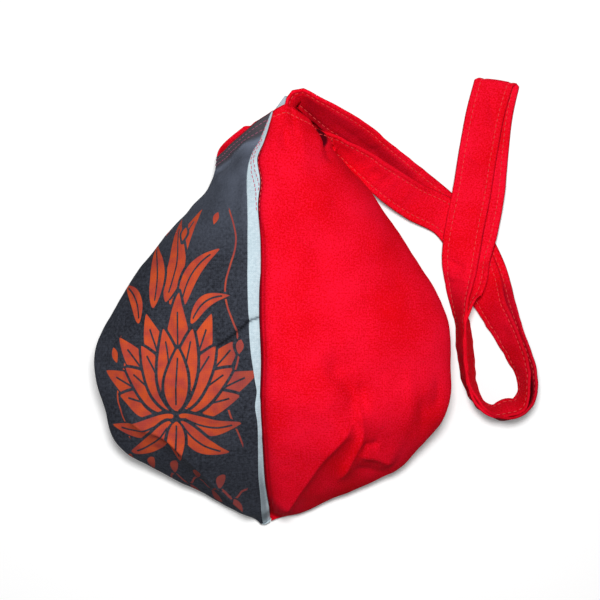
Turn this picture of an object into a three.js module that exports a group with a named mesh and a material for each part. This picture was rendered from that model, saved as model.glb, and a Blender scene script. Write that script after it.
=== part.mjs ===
// A cloth prayer bead bag that lies on a table, seen from above: a two-panel pouch with a
// carrying strap. Millimetres. +Z points up from the table, +Y runs from the bag towards its
// mouth, and the origin is where the far seam rests on the table below the bag's middle.
// The pouch is empty, open at its slanted mouth and at the finger slit in its near seam.

import * as THREE from 'three';

// Cloth and clearances

const PANEL_WALL = 2.0;          // panel cloth with its seam allowances and loft
const FACING_THICKNESS = 1.3;    // cloth turned to the inside along the mouth and the slit
const STRAP_THICKNESS = 1.8;     // strap cloth folded to four layers and topstitched
const STRAP_WIDTH = 27;
const SEAM_GAP = 0.4;            // clearance between pieces that are sewn together

// The pouch: sections from the mouth edge down to the tip.
// ridge is on the near seam, left and right are where the outline is widest, under is on the
// far seam. crown shapes each face between ridge and outline: 1 is a flat face, 2 a round one.
// sweep is how late the face turns from the ridge's place to the outline's along the bag.

const SECTIONS = [
  {
    ridge: [8, 167, 72], left: [-31, 140, 24], under: [16, 163, 3], right: [50, 141, 14],
    crown: [1.3, 1.8], sweep: [1, 4],
  },
  {
    ridge: [-1, 140, 84], left: [-33, 124, 32], under: [12, 140, 0], right: [69, 121, 36],
    crown: [1.35, 1.6], sweep: [1, 2],
  },
  {
    ridge: [0, 107, 92], left: [-48, 104, 38], under: [9, 108, 0], right: [83, 100, 42],
    crown: [1.4, 1.5], sweep: [1, 1],
  },
  {
    ridge: [0, 74, 98], left: [-72, 76, 42], under: [6, 77, 0], right: [101, 76, 44],
    crown: [1.4, 1.45], sweep: [1, 1],
  },
  {
    ridge: [1, 39, 101], left: [-97, 39, 44], under: [4, 39, 0], right: [122, 39, 45],
    crown: [1.4, 1.45], sweep: [1, 1],
  },
  {
    ridge: [1, 5, 100], left: [-112, 4, 44], under: [1, 2, 0], right: [129, 4, 45],
    crown: [1.4, 1.45], sweep: [1, 1],
  },
  {
    ridge: [2, -26, 92], left: [-107, -29, 40], under: [0, -31, 0], right: [127, -29, 41],
    crown: [1.4, 1.45], sweep: [1, 1],
  },
  {
    ridge: [2, -55, 74], left: [-95, -58, 31], under: [0, -61, 0], right: [106, -58, 31],
    crown: [1.35, 1.4], sweep: [1, 1],
  },
  {
    ridge: [2.5, -76, 54], left: [-61, -79, 21], under: [1, -81, 0], right: [85, -79, 20],
    crown: [1.35, 1.35], sweep: [1, 1],
  },
  {
    ridge: [3, -94, 34], left: [-30, -97, 13], under: [2, -98, 0], right: [46, -97, 12],
    crown: [1.3, 1.3], sweep: [1, 1],
  },
  {
    ridge: [3, -111, 14], left: [-1, -112, 7], under: [3, -112, 0], right: [7, -111, 7],
    crown: [1.3, 1.3], sweep: [1, 1],
  },
];

// Soft folds that stand up from the faces, as seen from above: the points of each fold's crest,
// its height, and how far the cloth takes to come back to its level left and right of its way.
// side is -1 for the left face and 1 for the right one.

const FOLDS = [
  {
    side: 1, height: 6.5, left: 24, right: 9,
    crest: [[16, -106], [27.9, -87.8], [36.5, -75.4], [44, -62.1], [53.3, -52.3], [62.9, -41.3]],
  },
  {
    side: 1, height: 6, left: 15, right: 9,
    crest: [[61, -33], [66.8, -50], [57.8, -75.6], [53, -90]],
  },
  {
    side: 1, height: 4.2, left: 8, right: 8,
    crest: [[67, -61], [79, -63.5], [91, -70.5]],
  },
  {
    side: -1, height: 4.6, left: 20, right: 9,
    crest: [[-94, -28], [-62.8, -47.5], [-41.3, -66.9], [-25.9, -84.3], [-2, -110]],
  },
];
const FOLD_FADE = 0.22;          // share of a crest over which it dies out at either end
const FOLD_START = 10;           // distance from the near seam at which folds begin to rise
const FOLD_FULL = 22;            // and at which they have their full height
const FOLD_LAST_TURN = 0.5;      // folds die out towards the outline
const FOLD_TURN_FADE = 0.1;

const FLAT_SHARE = 0.6;          // how much of each half of a section lies flat on the table
const PANEL_ROWS = 18;           // rows of facets below the slit
const SLIT_ROWS = 6;             // and beside it
const PANEL_COLUMNS = 14;

// The unprinted margins along the two seams

const NEAR_MARGIN_WIDTH = 8.5;
const FAR_MARGIN_WIDTH = 9;
const MARGIN_SPREAD_START = 245; // run at which the near margin starts to cover both faces
const MARGIN_TIP_SHARE = 0.75;   // most of a face's half width that a margin may cover
const TIP_CAP_FOOT = 1;          // height at which the margin's turned-down end stops
const TIP_CAP_SPARE = 0.6;       // how far the turned-down end reaches past the tip's sides

// The mouth's facing and the finger slit

const MOUTH_FACING_WIDTH = 11;
const SLIT_START = 12.5;         // runs down the near seam
const SLIT_END = 67;
const SLIT_WIDTH = 8;            // widest, in the middle of its length
const SLIT_FACING_WIDTH = 7;
const SLIT_FACING_INSET = 2.4;   // how far the facings stay back from the slit's edges
const SLIT_FACING_GAP = 0.8;     // clearance under the curve of the near seam

// The strap lies doubled. Each list follows one layer from its sewn end to the top fold:
// x, y, lift above its resting height, and tilt in degrees, where 0 is flat and 90 on edge.

const UPPER_LAYER = [
  [27, 159, 7, 82], [42, 152, 13.5, 74], [52, 148, 17.4, 67.5], [61, 144, 17.8, 60],
  [72, 136, 15.8, 48], [85, 124, 12.8, 34], [104, 110.5, 7, 20], [129, 96, 2.6, 3],
  [142, 82, 2.6, 0], [152, 67, 2.6, 3], [163.6, 37, 2, 34], [171.5, 14, 1, 51],
  [177.5, 0, 0.4, 62], [182, -14, 0, 78], [182.5, -23, 0, 88], [178, -29, 0, 90],
  [170.5, -31.5, 0, 90], [161.5, -30, 0, 90], [154, -24, 0, 86], [149.5, -14, 0, 78],
  [146.5, 7.5, 2.5, 68], [144.5, 29.5, 6.5, 46], [141, 49, 9.9, 22], [138.5, 68.5, 9.2, 4],
  [140.5, 87, 9, 0], [145, 113, 10.4, 0], [151, 146.5, 4, 0], [156.5, 174.5, 2.6, 0],
  [162, 193.5, 2.6, 0],
];
const LOWER_LAYER = [
  [21, 158, 33.2, 90], [20, 168.5, 36.2, 90], [20.5, 176, 40.2, 88], [24.5, 179.5, 43.7, 82],
  [31, 176, 44, 72], [50, 164, 36.5, 57], [66.5, 153, 25.6, 50], [81, 140.5, 17.2, 38],
  [102, 123.5, 8.6, 23], [129, 102, 0, 3], [145.5, 85.5, 0, 0], [157, 67, 0, 3],
  [167.5, 37, 0, 28], [177, 14, 0, 50], [183, 0, 0, 62], [187, -14, 0, 78],
  [188, -25, 0, 88], [181, -34, 0, 90], [170.5, -36, 0, 90], [159, -34, 0, 90],
  [149.5, -26.5, 0, 92], [143, -14.5, 0, 94], [137, 7.5, 0, 98], [138, 29.5, 0, 60],
  [139, 49, 6.3, 22], [138.5, 68.5, 6.4, 4], [143.5, 87, 6.2, 0], [150, 113, 7.6, 0],
  [158.5, 146.5, 1.2, 0], [162, 175, 0, 0], [166.5, 193, 0, 0],
];
const STRAP_REST_GAP = 0.3;      // clearance between the strap and the table
const STRAP_STEPS = 4;           // rings from one listed point to the next
const FOLD_STEPS = 6;

// The line about which the strap lifts, just outside the mouth

const HINGE_PLACE = [75, 134, 40];
const HINGE_HEADING = -39;       // degrees, the way the strap runs as it crosses the line
const HINGE_GAP = 0.5;
const HINGE_SEARCH_SHARE = 1 / 3; // both layers pass the hinge within this share of their points

// Finishes

const CHARCOAL = 0x34373f;
const RED = 0xe0101f;
const WHITE = 0xcfdae2;
const CLOTH_ROUGHNESS = 0.9;

const DEGREE = Math.PI / 180;
const RIDGE_SHARE = 0.5;         // of half a section's turn, from the ridge to the outline
const WRAP_SHARE = 0.75;         // and on to where it lies flat on the table

const vector = (place) => new THREE.Vector3(...place);

// Smooth run of a list of numbers past unevenly spaced stations

function smoothRun(stations, values, at) {
  const last = stations.length - 1;
  const x = Math.min(Math.max(at, stations[0]), stations[last]);
  let k = 0;
  while (k < last - 1 && x > stations[k + 1]) k += 1;
  const slopeBetween = (i) => (values[i + 1] - values[i]) / (stations[i + 1] - stations[i]);
  const slopeAt = (i) => {
    if (i === 0) return slopeBetween(0);
    if (i === last) return slopeBetween(last - 1);
    const before = stations[i] - stations[i - 1];
    const after = stations[i + 1] - stations[i];
    return (slopeBetween(i - 1) * after + slopeBetween(i) * before) / (before + after);
  };
  const step = stations[k + 1] - stations[k];
  const t = (x - stations[k]) / step;
  const startWeight = (1 + 2 * t) * (1 - t) ** 2;
  const endWeight = t * t * (3 - 2 * t);
  const startSlope = t * (1 - t) ** 2 * step;
  const endSlope = t * t * (t - 1) * step;
  return startWeight * values[k] + endWeight * values[k + 1]
    + startSlope * slopeAt(k) + endSlope * slopeAt(k + 1);
}

// A section's run is how far down the near seam it lies from the mouth edge

const MOUTH_Y = SECTIONS[0].ridge[1];
const RUNS = SECTIONS.map((section) => MOUTH_Y - section.ridge[1]);
const LAST_RUN = RUNS[RUNS.length - 1];

function sectionAt(run) {
  const blend = (pick) => smoothRun(RUNS, SECTIONS.map(pick), run);
  const place = (name) => [0, 1, 2].map((axis) => blend((section) => section[name][axis]));
  const [underX, underY, underZ] = place('under');
  return {
    ridge: place('ridge'),
    left: place('left'),
    right: place('right'),
    under: [underX, underY, Math.max(underZ, 0)],
    crown: [0, 1].map((side) => blend((section) => section.crown[side])),
    sweep: [0, 1].map((side) => blend((section) => section.sweep[side])),
  };
}

// A point of the pouch's outer surface. turn is 0 on the near seam, -0.5 and 0.5 on the left
// and right outline, and -1 and 1 on the far seam, past which it goes on round the other side.

function pouchPoint(run, anyTurn) {
  const section = sectionAt(run);
  const turn = anyTurn - 2 * Math.round(anyTurn / 2);
  const side = turn < 0 ? 0 : 1;
  const edge = side === 0 ? section.left : section.right;
  const crown = section.crown[side];
  const share = Math.abs(turn);
  const { ridge, under } = section;
  if (share <= RIDGE_SHARE) {
    const angle = (share / RIDGE_SHARE) * (Math.PI / 2);
    const across = Math.sin(angle) ** (2 / crown);
    const rise = Math.max(Math.cos(angle), 0) ** (2 / crown);
    return new THREE.Vector3(
      ridge[0] + (edge[0] - ridge[0]) * across,
      ridge[1] + (edge[1] - ridge[1]) * across ** section.sweep[side],
      edge[2] + (ridge[2] - edge[2]) * rise,
    );
  }
  const flatX = under[0] + (edge[0] - under[0]) * FLAT_SHARE;
  if (share <= WRAP_SHARE) {
    const part = (share - RIDGE_SHARE) / (WRAP_SHARE - RIDGE_SHARE);
    const angle = part * (Math.PI / 2);
    return new THREE.Vector3(
      flatX + (edge[0] - flatX) * Math.cos(angle),
      edge[1] + (under[1] - edge[1]) * part,
      under[2] + (edge[2] - under[2]) * (1 - Math.sin(angle)),
    );
  }
  const inward = (share - WRAP_SHARE) / (1 - WRAP_SHARE);
  return new THREE.Vector3(flatX + (under[0] - flatX) * inward, under[1], under[2]);
}

function pouchNormal(run, turn) {
  const runStep = 1;
  const turnStep = 0.04;
  const down = pouchPoint(run + runStep, turn).sub(pouchPoint(run - runStep, turn));
  const round = pouchPoint(run, turn + turnStep).sub(pouchPoint(run, turn - turnStep));
  return down.cross(round).normalize();
}

function pouchLayer(run, turn, depth) {
  const place = pouchPoint(run, turn);
  return place.addScaledVector(pouchNormal(run, turn), foldHeight(place, run, turn) - depth);
}

// How far the folds lift a face at a place

function easeIn(value) {
  const share = Math.min(Math.max(value, 0), 1);
  return share * share * (3 - 2 * share);
}

function foldHeight(place, run, turn) {
  const fromSeam = Math.abs(place.x - sectionAt(run).ridge[0]);
  const rise = easeIn((fromSeam - FOLD_START) / (FOLD_FULL - FOLD_START))
    * easeIn((FOLD_LAST_TURN - Math.abs(turn)) / FOLD_TURN_FADE);
  if (rise === 0) return 0;
  return rise * FOLDS.filter(({ side }) => side === Math.sign(turn))
    .reduce((sum, fold) => sum + liftOf(fold, place), 0);
}

function liftOf({ crest, height, left, right }, place) {
  const lengths = crest.slice(1).map(([x, y], k) => Math.hypot(x - crest[k][0], y - crest[k][1]));
  const whole = lengths.reduce((sum, length) => sum + length, 0);
  let nearest = { distance: Infinity };
  let passed = 0;
  lengths.forEach((length, k) => {
    const way = [0, 1].map((axis) => (crest[k + 1][axis] - crest[k][axis]) / length);
    const away = [place.x - crest[k][0], place.y - crest[k][1]];
    const along = Math.min(Math.max(away[0] * way[0] + away[1] * way[1], 0), length);
    const distance = Math.hypot(away[0] - along * way[0], away[1] - along * way[1]);
    if (distance < nearest.distance) {
      const onLeft = way[0] * away[1] - way[1] * away[0] > 0;
      nearest = { distance, reach: onLeft ? left : right, share: (passed + along) / whole };
    }
    passed += length;
  });
  const ends = easeIn(nearest.share / FOLD_FADE) * easeIn((1 - nearest.share) / FOLD_FADE);
  return height * ends * Math.exp(-nearest.distance / nearest.reach);
}

// The turn at which a face is a given distance from the ridge, measured flat

function turnAt(run, side, distance) {
  const section = sectionAt(run);
  const edge = side < 0 ? section.left : section.right;
  const halfWidth = Math.abs(edge[0] - section.ridge[0]);
  const crown = section.crown[side < 0 ? 0 : 1];
  const share = Math.min(distance / halfWidth, 1);
  return side * RIDGE_SHARE * (Math.asin(share ** (crown / 2)) / (Math.PI / 2));
}

function faceWidth(run, side) {
  const section = sectionAt(run);
  const edge = side < 0 ? section.left : section.right;
  return Math.abs(edge[0] - section.ridge[0]);
}

// The turn at which the underside is a given distance from the far seam

function underTurnAt(run, side, distance) {
  const section = sectionAt(run);
  const edge = side < 0 ? section.left : section.right;
  const flatWidth = Math.abs(edge[0] - section.under[0]) * FLAT_SHARE;
  const inward = 1 - Math.min(distance / flatWidth, 1);
  return side * (WRAP_SHARE + (1 - WRAP_SHARE) * inward);
}

// A closed body between two grids of points, each a list of rows of equal length

function slabBetween(outer, inner) {
  const rows = outer.length;
  const columns = outer[0].length;
  const places = [...outer.flat(), ...inner.flat()];
  const outerAt = (row, column) => row * columns + column;
  const innerAt = (row, column) => rows * columns + row * columns + column;
  const faces = [];
  const quad = (a, b, c, d) => faces.push(a, b, c, a, c, d);
  for (let row = 0; row < rows - 1; row += 1) {
    for (let column = 0; column < columns - 1; column += 1) {
      quad(outerAt(row, column), outerAt(row + 1, column), outerAt(row + 1, column + 1), outerAt(row, column + 1));
      quad(innerAt(row, column), innerAt(row, column + 1), innerAt(row + 1, column + 1), innerAt(row + 1, column));
    }
  }
  for (let row = 0; row < rows - 1; row += 1) {
    const end = columns - 1;
    quad(outerAt(row, 0), innerAt(row, 0), innerAt(row + 1, 0), outerAt(row + 1, 0));
    quad(outerAt(row, end), outerAt(row + 1, end), innerAt(row + 1, end), innerAt(row, end));
  }
  for (let column = 0; column < columns - 1; column += 1) {
    const end = rows - 1;
    quad(outerAt(0, column), outerAt(0, column + 1), innerAt(0, column + 1), innerAt(0, column));
    quad(outerAt(end, column), innerAt(end, column), innerAt(end, column + 1), outerAt(end, column + 1));
  }
  return closedBody(places, faces);
}

function closedBody(places, faces) {
  const geometry = new THREE.BufferGeometry();
  const numbers = places.flatMap((place) => [place.x, place.y, place.z]);
  geometry.setAttribute('position', new THREE.Float32BufferAttribute(numbers, 3));
  geometry.setIndex(volumeOf(places, faces) < 0 ? turnedFaces(faces) : faces);
  geometry.computeVertexNormals();
  return geometry;
}

function volumeOf(places, faces) {
  let volume = 0;
  for (let k = 0; k < faces.length; k += 3) {
    const [a, b, c] = [places[faces[k]], places[faces[k + 1]], places[faces[k + 2]]];
    volume += a.dot(b.clone().cross(c)) / 6;
  }
  return volume;
}

function turnedFaces(faces) {
  const turned = [];
  for (let k = 0; k < faces.length; k += 3) turned.push(faces[k], faces[k + 2], faces[k + 1]);
  return turned;
}

// A strip of cloth on the pouch between two runs and two lines of turn, at a depth below the
// outer surface

function clothStrip({ runs, columns, turnFrom, turnTo, depth, thickness }) {
  const grid = (layerDepth) => runs.map((run) => {
    const from = turnFrom(run);
    const to = turnTo(run);
    const row = [];
    for (let column = 0; column <= columns; column += 1) {
      row.push(pouchLayer(run, from + (to - from) * (column / columns), layerDepth));
    }
    return row;
  });
  return slabBetween(grid(depth), grid(depth + thickness));
}

function evenRuns(from, to, count) {
  return Array.from({ length: count + 1 }, (_, k) => from + (to - from) * (k / count));
}

// Where the slit and the margins part the two panels

function slitHalfWidth(run) {
  const along = (run - SLIT_START) / (SLIT_END - SLIT_START);
  if (along <= 0 || along >= 1) return 0;
  return (SLIT_WIDTH / 2) * Math.sin(Math.PI * along);
}

function marginLeft(run) {
  return Math.min(NEAR_MARGIN_WIDTH, MARGIN_TIP_SHARE * faceWidth(run, -1)) + slitHalfWidth(run);
}

function marginRight(run) {
  const spread = Math.max((run - MARGIN_SPREAD_START) / (LAST_RUN - MARGIN_SPREAD_START), 0);
  return spread * Math.min(NEAR_MARGIN_WIDTH / 2, MARGIN_TIP_SHARE * faceWidth(run, 1));
}

function farMarginHalf(run) {
  const flatLeft = Math.abs(sectionAt(run).left[0] - sectionAt(run).under[0]) * FLAT_SHARE;
  return Math.min(FAR_MARGIN_WIDTH / 2, MARGIN_TIP_SHARE * flatLeft);
}

// The two panels

const FACED_RUNS = evenRuns(0, MOUTH_FACING_WIDTH, 2);
const SLIT_RUNS = evenRuns(SLIT_START, SLIT_END, SLIT_ROWS);
const LOWER_RUNS = evenRuns(SLIT_END, LAST_RUN, PANEL_ROWS);
const PANEL_RUNS = [...FACED_RUNS, ...SLIT_RUNS, ...LOWER_RUNS.slice(1)];

const nearEdge = (run, side) => (side < 0 ? marginLeft(run) : Math.max(marginRight(run), slitHalfWidth(run)));
const panelStart = (run, side) => turnAt(run, side, nearEdge(run, side) + SEAM_GAP);
const panelEnd = (run, side) => underTurnAt(run, side, farMarginHalf(run) + SEAM_GAP);

function panel(side) {
  return clothStrip({
    runs: PANEL_RUNS,
    columns: PANEL_COLUMNS,
    turnFrom: (run) => panelStart(run, side),
    turnTo: (run) => panelEnd(run, side),
    depth: 0,
    thickness: PANEL_WALL,
  });
}

// The near margin follows the ridge and turns down over the tip, which it closes

function nearMargin() {
  const columns = 4;
  const turnAcross = (run, column) => {
    const from = turnAt(run, -1, marginLeft(run));
    const slit = slitHalfWidth(run);
    const to = slit > 0 ? turnAt(run, -1, slit) : turnAt(run, 1, marginRight(run));
    return from + (to - from) * (column / columns);
  };
  const grid = (depth) => PANEL_RUNS.map((run) => {
    const row = [];
    for (let column = 0; column <= columns; column += 1) {
      row.push(pouchLayer(run, turnAcross(run, column), depth));
    }
    return row;
  });
  const outer = grid(0);
  const inner = grid(PANEL_WALL);
  const tip = sectionAt(LAST_RUN);
  const endY = Math.min(tip.left[1], tip.right[1], tip.ridge[1], tip.under[1]) - SEAM_GAP;
  const leftX = tip.left[0] - TIP_CAP_SPARE;
  const rightX = tip.right[0] + TIP_CAP_SPARE;
  const brow = outer[outer.length - 1].map((place) => place.x);
  const wide = brow.map((_, column) => leftX + (rightX - leftX) * (column / columns));
  const capRow = (across, y, z) => across.map((x) => new THREE.Vector3(x, y, z));
  const topZ = tip.ridge[2];
  outer.push(
    capRow(brow, endY - PANEL_WALL, topZ - SEAM_GAP),
    capRow(wide, endY - PANEL_WALL, topZ - 2 * PANEL_WALL),
    capRow(wide, endY - PANEL_WALL, TIP_CAP_FOOT),
  );
  inner.push(
    capRow(brow, endY, topZ - SEAM_GAP - PANEL_WALL),
    capRow(wide, endY, topZ - 2 * PANEL_WALL),
    capRow(wide, endY, TIP_CAP_FOOT),
  );
  return slabBetween(outer, inner);
}

// The far margin stops a row short of the tip, where the two panels close in

function farMargin() {
  return clothStrip({
    runs: PANEL_RUNS.slice(0, -1),
    columns: 2,
    turnFrom: (run) => underTurnAt(run, -1, farMarginHalf(run)),
    turnTo: (run) => underTurnAt(run, 1, farMarginHalf(run)) - 2,
    depth: 0,
    thickness: PANEL_WALL,
  });
}

// Facings lie against the inside of the panels

function mouthFacing(side) {
  const inset = (run) => (panelEnd(run, side) - panelStart(run, side)) / PANEL_COLUMNS;
  return clothStrip({
    runs: FACED_RUNS,
    columns: PANEL_COLUMNS - 2,
    turnFrom: (run) => panelStart(run, side) + inset(run),
    turnTo: (run) => panelEnd(run, side) - inset(run),
    depth: PANEL_WALL + SEAM_GAP,
    thickness: FACING_THICKNESS,
  });
}

function slitFacing(side) {
  const start = (run) => slitHalfWidth(run) + SLIT_FACING_INSET;
  return clothStrip({
    runs: SLIT_RUNS,
    columns: 2,
    turnFrom: (run) => turnAt(run, side, start(run)),
    turnTo: (run) => turnAt(run, side, start(run) + SLIT_FACING_WIDTH),
    depth: PANEL_WALL + SLIT_FACING_GAP,
    thickness: FACING_THICKNESS,
  });
}

// The strap's layers: a smooth line through the listed points, with a tilt at each place

function strapLayer(points) {
  const restHeight = (tilt) => (STRAP_WIDTH / 2) * Math.abs(Math.sin(tilt * DEGREE))
    + (STRAP_THICKNESS / 2) * Math.abs(Math.cos(tilt * DEGREE)) + STRAP_REST_GAP;
  const plan = new THREE.CatmullRomCurve3(points.map(([x, y]) => new THREE.Vector3(x, y, 0)), false, 'centripetal');
  const stations = points.map((_, k) => k);
  const liftAt = (at) => Math.max(smoothRun(stations, points.map((point) => point[2]), at), 0);
  const tiltAt = (at) => smoothRun(stations, points.map((point) => point[3]), at);
  const last = points.length - 1;
  const placeAt = (at) => plan.getPoint(at / last).setZ(restHeight(tiltAt(at)) + liftAt(at));
  return {
    last,
    place: placeAt,
    ring: (at) => {
      const step = 0.05;
      const place = placeAt(at);
      const along = placeAt(Math.min(at + step, last)).sub(placeAt(Math.max(at - step, 0))).normalize();
      const level = new THREE.Vector3(0, 0, 1).cross(along).normalize();
      const upright = along.clone().cross(level);
      const tilt = tiltAt(at) * DEGREE;
      const across = level.multiplyScalar(Math.cos(tilt)).addScaledVector(upright, Math.sin(tilt));
      const face = along.clone().cross(across);
      return { place, along, across, face };
    },
  };
}

function ringCorners({ place, across, face }) {
  const corner = (sideways, outwards) => place.clone()
    .addScaledVector(across, sideways * (STRAP_WIDTH / 2))
    .addScaledVector(face, outwards * (STRAP_THICKNESS / 2));
  return [corner(-1, -1), corner(1, -1), corner(1, 1), corner(-1, 1)];
}

function ribbon(rings) {
  const corners = rings.map(ringCorners);
  const sides = 4;
  const places = corners.flat();
  const faces = [];
  const quad = (a, b, c, d) => faces.push(a, b, c, a, c, d);
  for (let k = 0; k < corners.length - 1; k += 1) {
    for (let side = 0; side < sides; side += 1) {
      const next = (side + 1) % sides;
      quad(k * sides + side, k * sides + next, (k + 1) * sides + next, (k + 1) * sides + side);
    }
  }
  const end = (corners.length - 1) * sides;
  quad(0, 3, 2, 1);
  quad(end, end + 1, end + 2, end + 3);
  return closedBody(places, faces);
}

const upperLayer = strapLayer(UPPER_LAYER);
const lowerLayer = strapLayer(LOWER_LAYER);

// Where a layer crosses an upright plane across the strap's way, at a distance past the hinge

function crossing(layer, distance) {
  const way = new THREE.Vector3(Math.cos(HINGE_HEADING * DEGREE), Math.sin(HINGE_HEADING * DEGREE), 0);
  const past = (at) => layer.place(at).sub(vector(HINGE_PLACE)).dot(way) - distance;
  const halvings = 40;
  let before = 1;
  let after = Math.round(layer.last * HINGE_SEARCH_SHARE);
  for (let k = 0; k < halvings; k += 1) {
    const middle = (before + after) / 2;
    if (past(middle) < 0) before = middle;
    else after = middle;
  }
  return (before + after) / 2;
}

function layerRings(layer, from, to) {
  const rings = [layer.ring(from)];
  const first = Math.floor(from * STRAP_STEPS) + 1;
  const lastStep = Math.ceil(to * STRAP_STEPS) - 1;
  const tooNear = 0.15;
  for (let k = first; k <= lastStep; k += 1) {
    const at = k / STRAP_STEPS;
    if (at - from > tooNear && to - at > tooNear) rings.push(layer.ring(at));
  }
  rings.push(layer.ring(to));
  return rings;
}

// The top fold turns the upper layer over into the lower one

function foldRings() {
  const top = upperLayer.ring(upperLayer.last);
  const bottom = lowerLayer.ring(lowerLayer.last);
  const middle = top.place.clone().add(bottom.place).multiplyScalar(0.5);
  const radius = top.place.z - middle.z;
  const rings = [];
  for (let k = 1; k < FOLD_STEPS; k += 1) {
    const angle = Math.PI * (k / FOLD_STEPS);
    rings.push({
      place: middle.clone()
        .addScaledVector(top.place.clone().sub(middle), Math.cos(angle))
        .addScaledVector(top.along, radius * Math.sin(angle)),
      across: top.across.clone().lerp(bottom.across, k / FOLD_STEPS).normalize(),
      face: top.face.clone().multiplyScalar(Math.cos(angle)).addScaledVector(top.along, Math.sin(angle)),
    });
  }
  return rings;
}

function turnedRing({ place, across, face }) {
  return { place, across, face: face.clone().negate() };
}

function strap() {
  const upper = layerRings(upperLayer, crossing(upperLayer, HINGE_GAP / 2), upperLayer.last);
  const lower = layerRings(lowerLayer, crossing(lowerLayer, HINGE_GAP / 2), lowerLayer.last);
  return ribbon([...upper, ...foldRings(), ...lower.reverse().map(turnedRing)]);
}

function strapEnd(layer) {
  return ribbon(layerRings(layer, 0, crossing(layer, -HINGE_GAP / 2)));
}

// The assembly

const bag = new THREE.Group();

function addPiece(name, geometry, color) {
  const cloth = new THREE.MeshStandardMaterial({ color, roughness: CLOTH_ROUGHNESS, metalness: 0 });
  const piece = new THREE.Mesh(geometry, cloth);
  piece.name = name;
  bag.add(piece);
}

addPiece('front_panel', panel(-1), CHARCOAL);
addPiece('back_panel', panel(1), RED);
addPiece('near_seam_margin', nearMargin(), WHITE);
addPiece('far_seam_margin', farMargin(), WHITE);
addPiece('mouth_facing_front', mouthFacing(-1), RED);
addPiece('mouth_facing_back', mouthFacing(1), RED);
addPiece('slit_facing_front', slitFacing(-1), WHITE);
addPiece('slit_facing_back', slitFacing(1), RED);
addPiece('strap_end_near', strapEnd(lowerLayer), RED);
addPiece('strap_end_far', strapEnd(upperLayer), RED);
addPiece('strap', strap(), RED);

export default bag;
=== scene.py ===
"""Looks of a cloth prayer bead bag that lies on a table, seen straight from above.

The bag is an empty pouch of two cotton panels, a printed charcoal one and a red one, joined by a
near seam along the ridge and a far seam along the table. A finger slit opens the near seam below
the mouth, and a long doubled strap of red cloth comes out of the mouth. Sizes are in millimetres
and become metres where a mesh is made.
"""

import logging
import math
from dataclasses import dataclass, field
from enum import Enum

import bpy
import numpy as np
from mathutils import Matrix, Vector


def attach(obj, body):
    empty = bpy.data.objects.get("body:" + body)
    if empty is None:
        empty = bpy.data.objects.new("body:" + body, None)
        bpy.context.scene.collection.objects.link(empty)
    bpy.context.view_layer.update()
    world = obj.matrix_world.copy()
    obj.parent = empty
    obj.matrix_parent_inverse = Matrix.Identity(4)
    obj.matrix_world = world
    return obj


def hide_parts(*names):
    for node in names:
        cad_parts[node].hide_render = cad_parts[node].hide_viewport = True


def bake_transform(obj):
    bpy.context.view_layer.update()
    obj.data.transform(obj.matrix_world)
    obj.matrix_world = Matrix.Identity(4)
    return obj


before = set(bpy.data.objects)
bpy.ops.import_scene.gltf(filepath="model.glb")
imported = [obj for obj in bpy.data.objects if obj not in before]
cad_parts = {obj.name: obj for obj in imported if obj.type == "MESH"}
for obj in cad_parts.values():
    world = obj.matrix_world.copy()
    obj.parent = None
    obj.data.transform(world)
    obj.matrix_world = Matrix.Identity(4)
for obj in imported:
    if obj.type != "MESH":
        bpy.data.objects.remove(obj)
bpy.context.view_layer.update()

Array = np.ndarray
Material, Mesh, Piece = bpy.types.Material, bpy.types.Mesh, bpy.types.Object
Node, Socket, Tree = bpy.types.Node, bpy.types.NodeSocket, bpy.types.NodeTree

MM = 0.001
CLOTH = 0.9         # millimetres, the wall of the panels
THREAD_RISE = 0.12  # millimetres, how far a stitch lies above its cloth
LINE_POINTS = 24    # how many points a fold's line is drawn with
LOG = logging.getLogger("prayer_bead_bag")


class Side(Enum):
    """The two faces of the pouch, on either side of the ridge."""

    LEFT = -1
    RIGHT = 1


# Numbers and curves


def smooth_run(stations: Array, values: Array, at: Array) -> Array:
    """Draws a smooth curve through values at unevenly spaced stations.

    Args:
        stations: rising places of the values, of shape (n,).
        values: values there, of shape (n,) or (n, k).
        at: places to read, of shape (m,).

    Returns:
        The curve at those places, of shape (m,) or (m, k).
    """
    wide = values.reshape(len(stations), -1)
    place = np.clip(at, stations[0], stations[-1])
    last = len(stations) - 2
    k = np.clip(np.searchsorted(stations, place, side="right") - 1, 0, last)
    steps = np.diff(stations)[:, None]
    between = np.diff(wide, axis=0) / steps
    inner = (between[:-1] * steps[1:] + between[1:] * steps[:-1]) / (steps[:-1] + steps[1:])
    slopes = np.vstack([between[:1], inner, between[-1:]])
    step = steps[k]
    t = ((place - stations[k]) / steps[k, 0])[:, None]
    run = (
        (1 + 2 * t) * (1 - t) ** 2 * wide[k]
        + t * t * (3 - 2 * t) * wide[k + 1]
        + t * (1 - t) ** 2 * step * slopes[k]
        + t * t * (t - 1) * step * slopes[k + 1]
    )
    return run.reshape(len(place), *values.shape[1:])


def lengths_along(points: Array) -> Array:
    """Returns the length of a line of points up to each of them."""
    return np.concatenate([[0.0], np.cumsum(np.linalg.norm(np.diff(points, axis=0), axis=1))])


def smooth_line(points: tuple, count: int) -> Array:
    """Draws a smooth curve through points, by their distance apart.

    Args:
        points: the corners, each of k numbers.
        count: how many points to return.

    Returns:
        The curve's points, evenly spread, of shape (count, k).
    """
    corners = np.array(points, float)
    stations = lengths_along(corners)
    return smooth_run(stations, corners, np.linspace(0, stations[-1], count))


def unit(vectors: Array) -> Array:
    """Returns the vectors at length one."""
    return vectors / np.maximum(np.linalg.norm(vectors, axis=-1, keepdims=True), 1e-12)


def ease(share: Array) -> Array:
    """Returns a smooth step from 0 to 1."""
    t = np.clip(share, 0, 1)
    return t * t * (3 - 2 * t)


def bell(away: Array, reach: Array | float) -> Array:
    """Returns a smooth hump: 1 at no distance, and little beyond its reach."""
    return np.exp(-((away / reach) ** 2))


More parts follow.
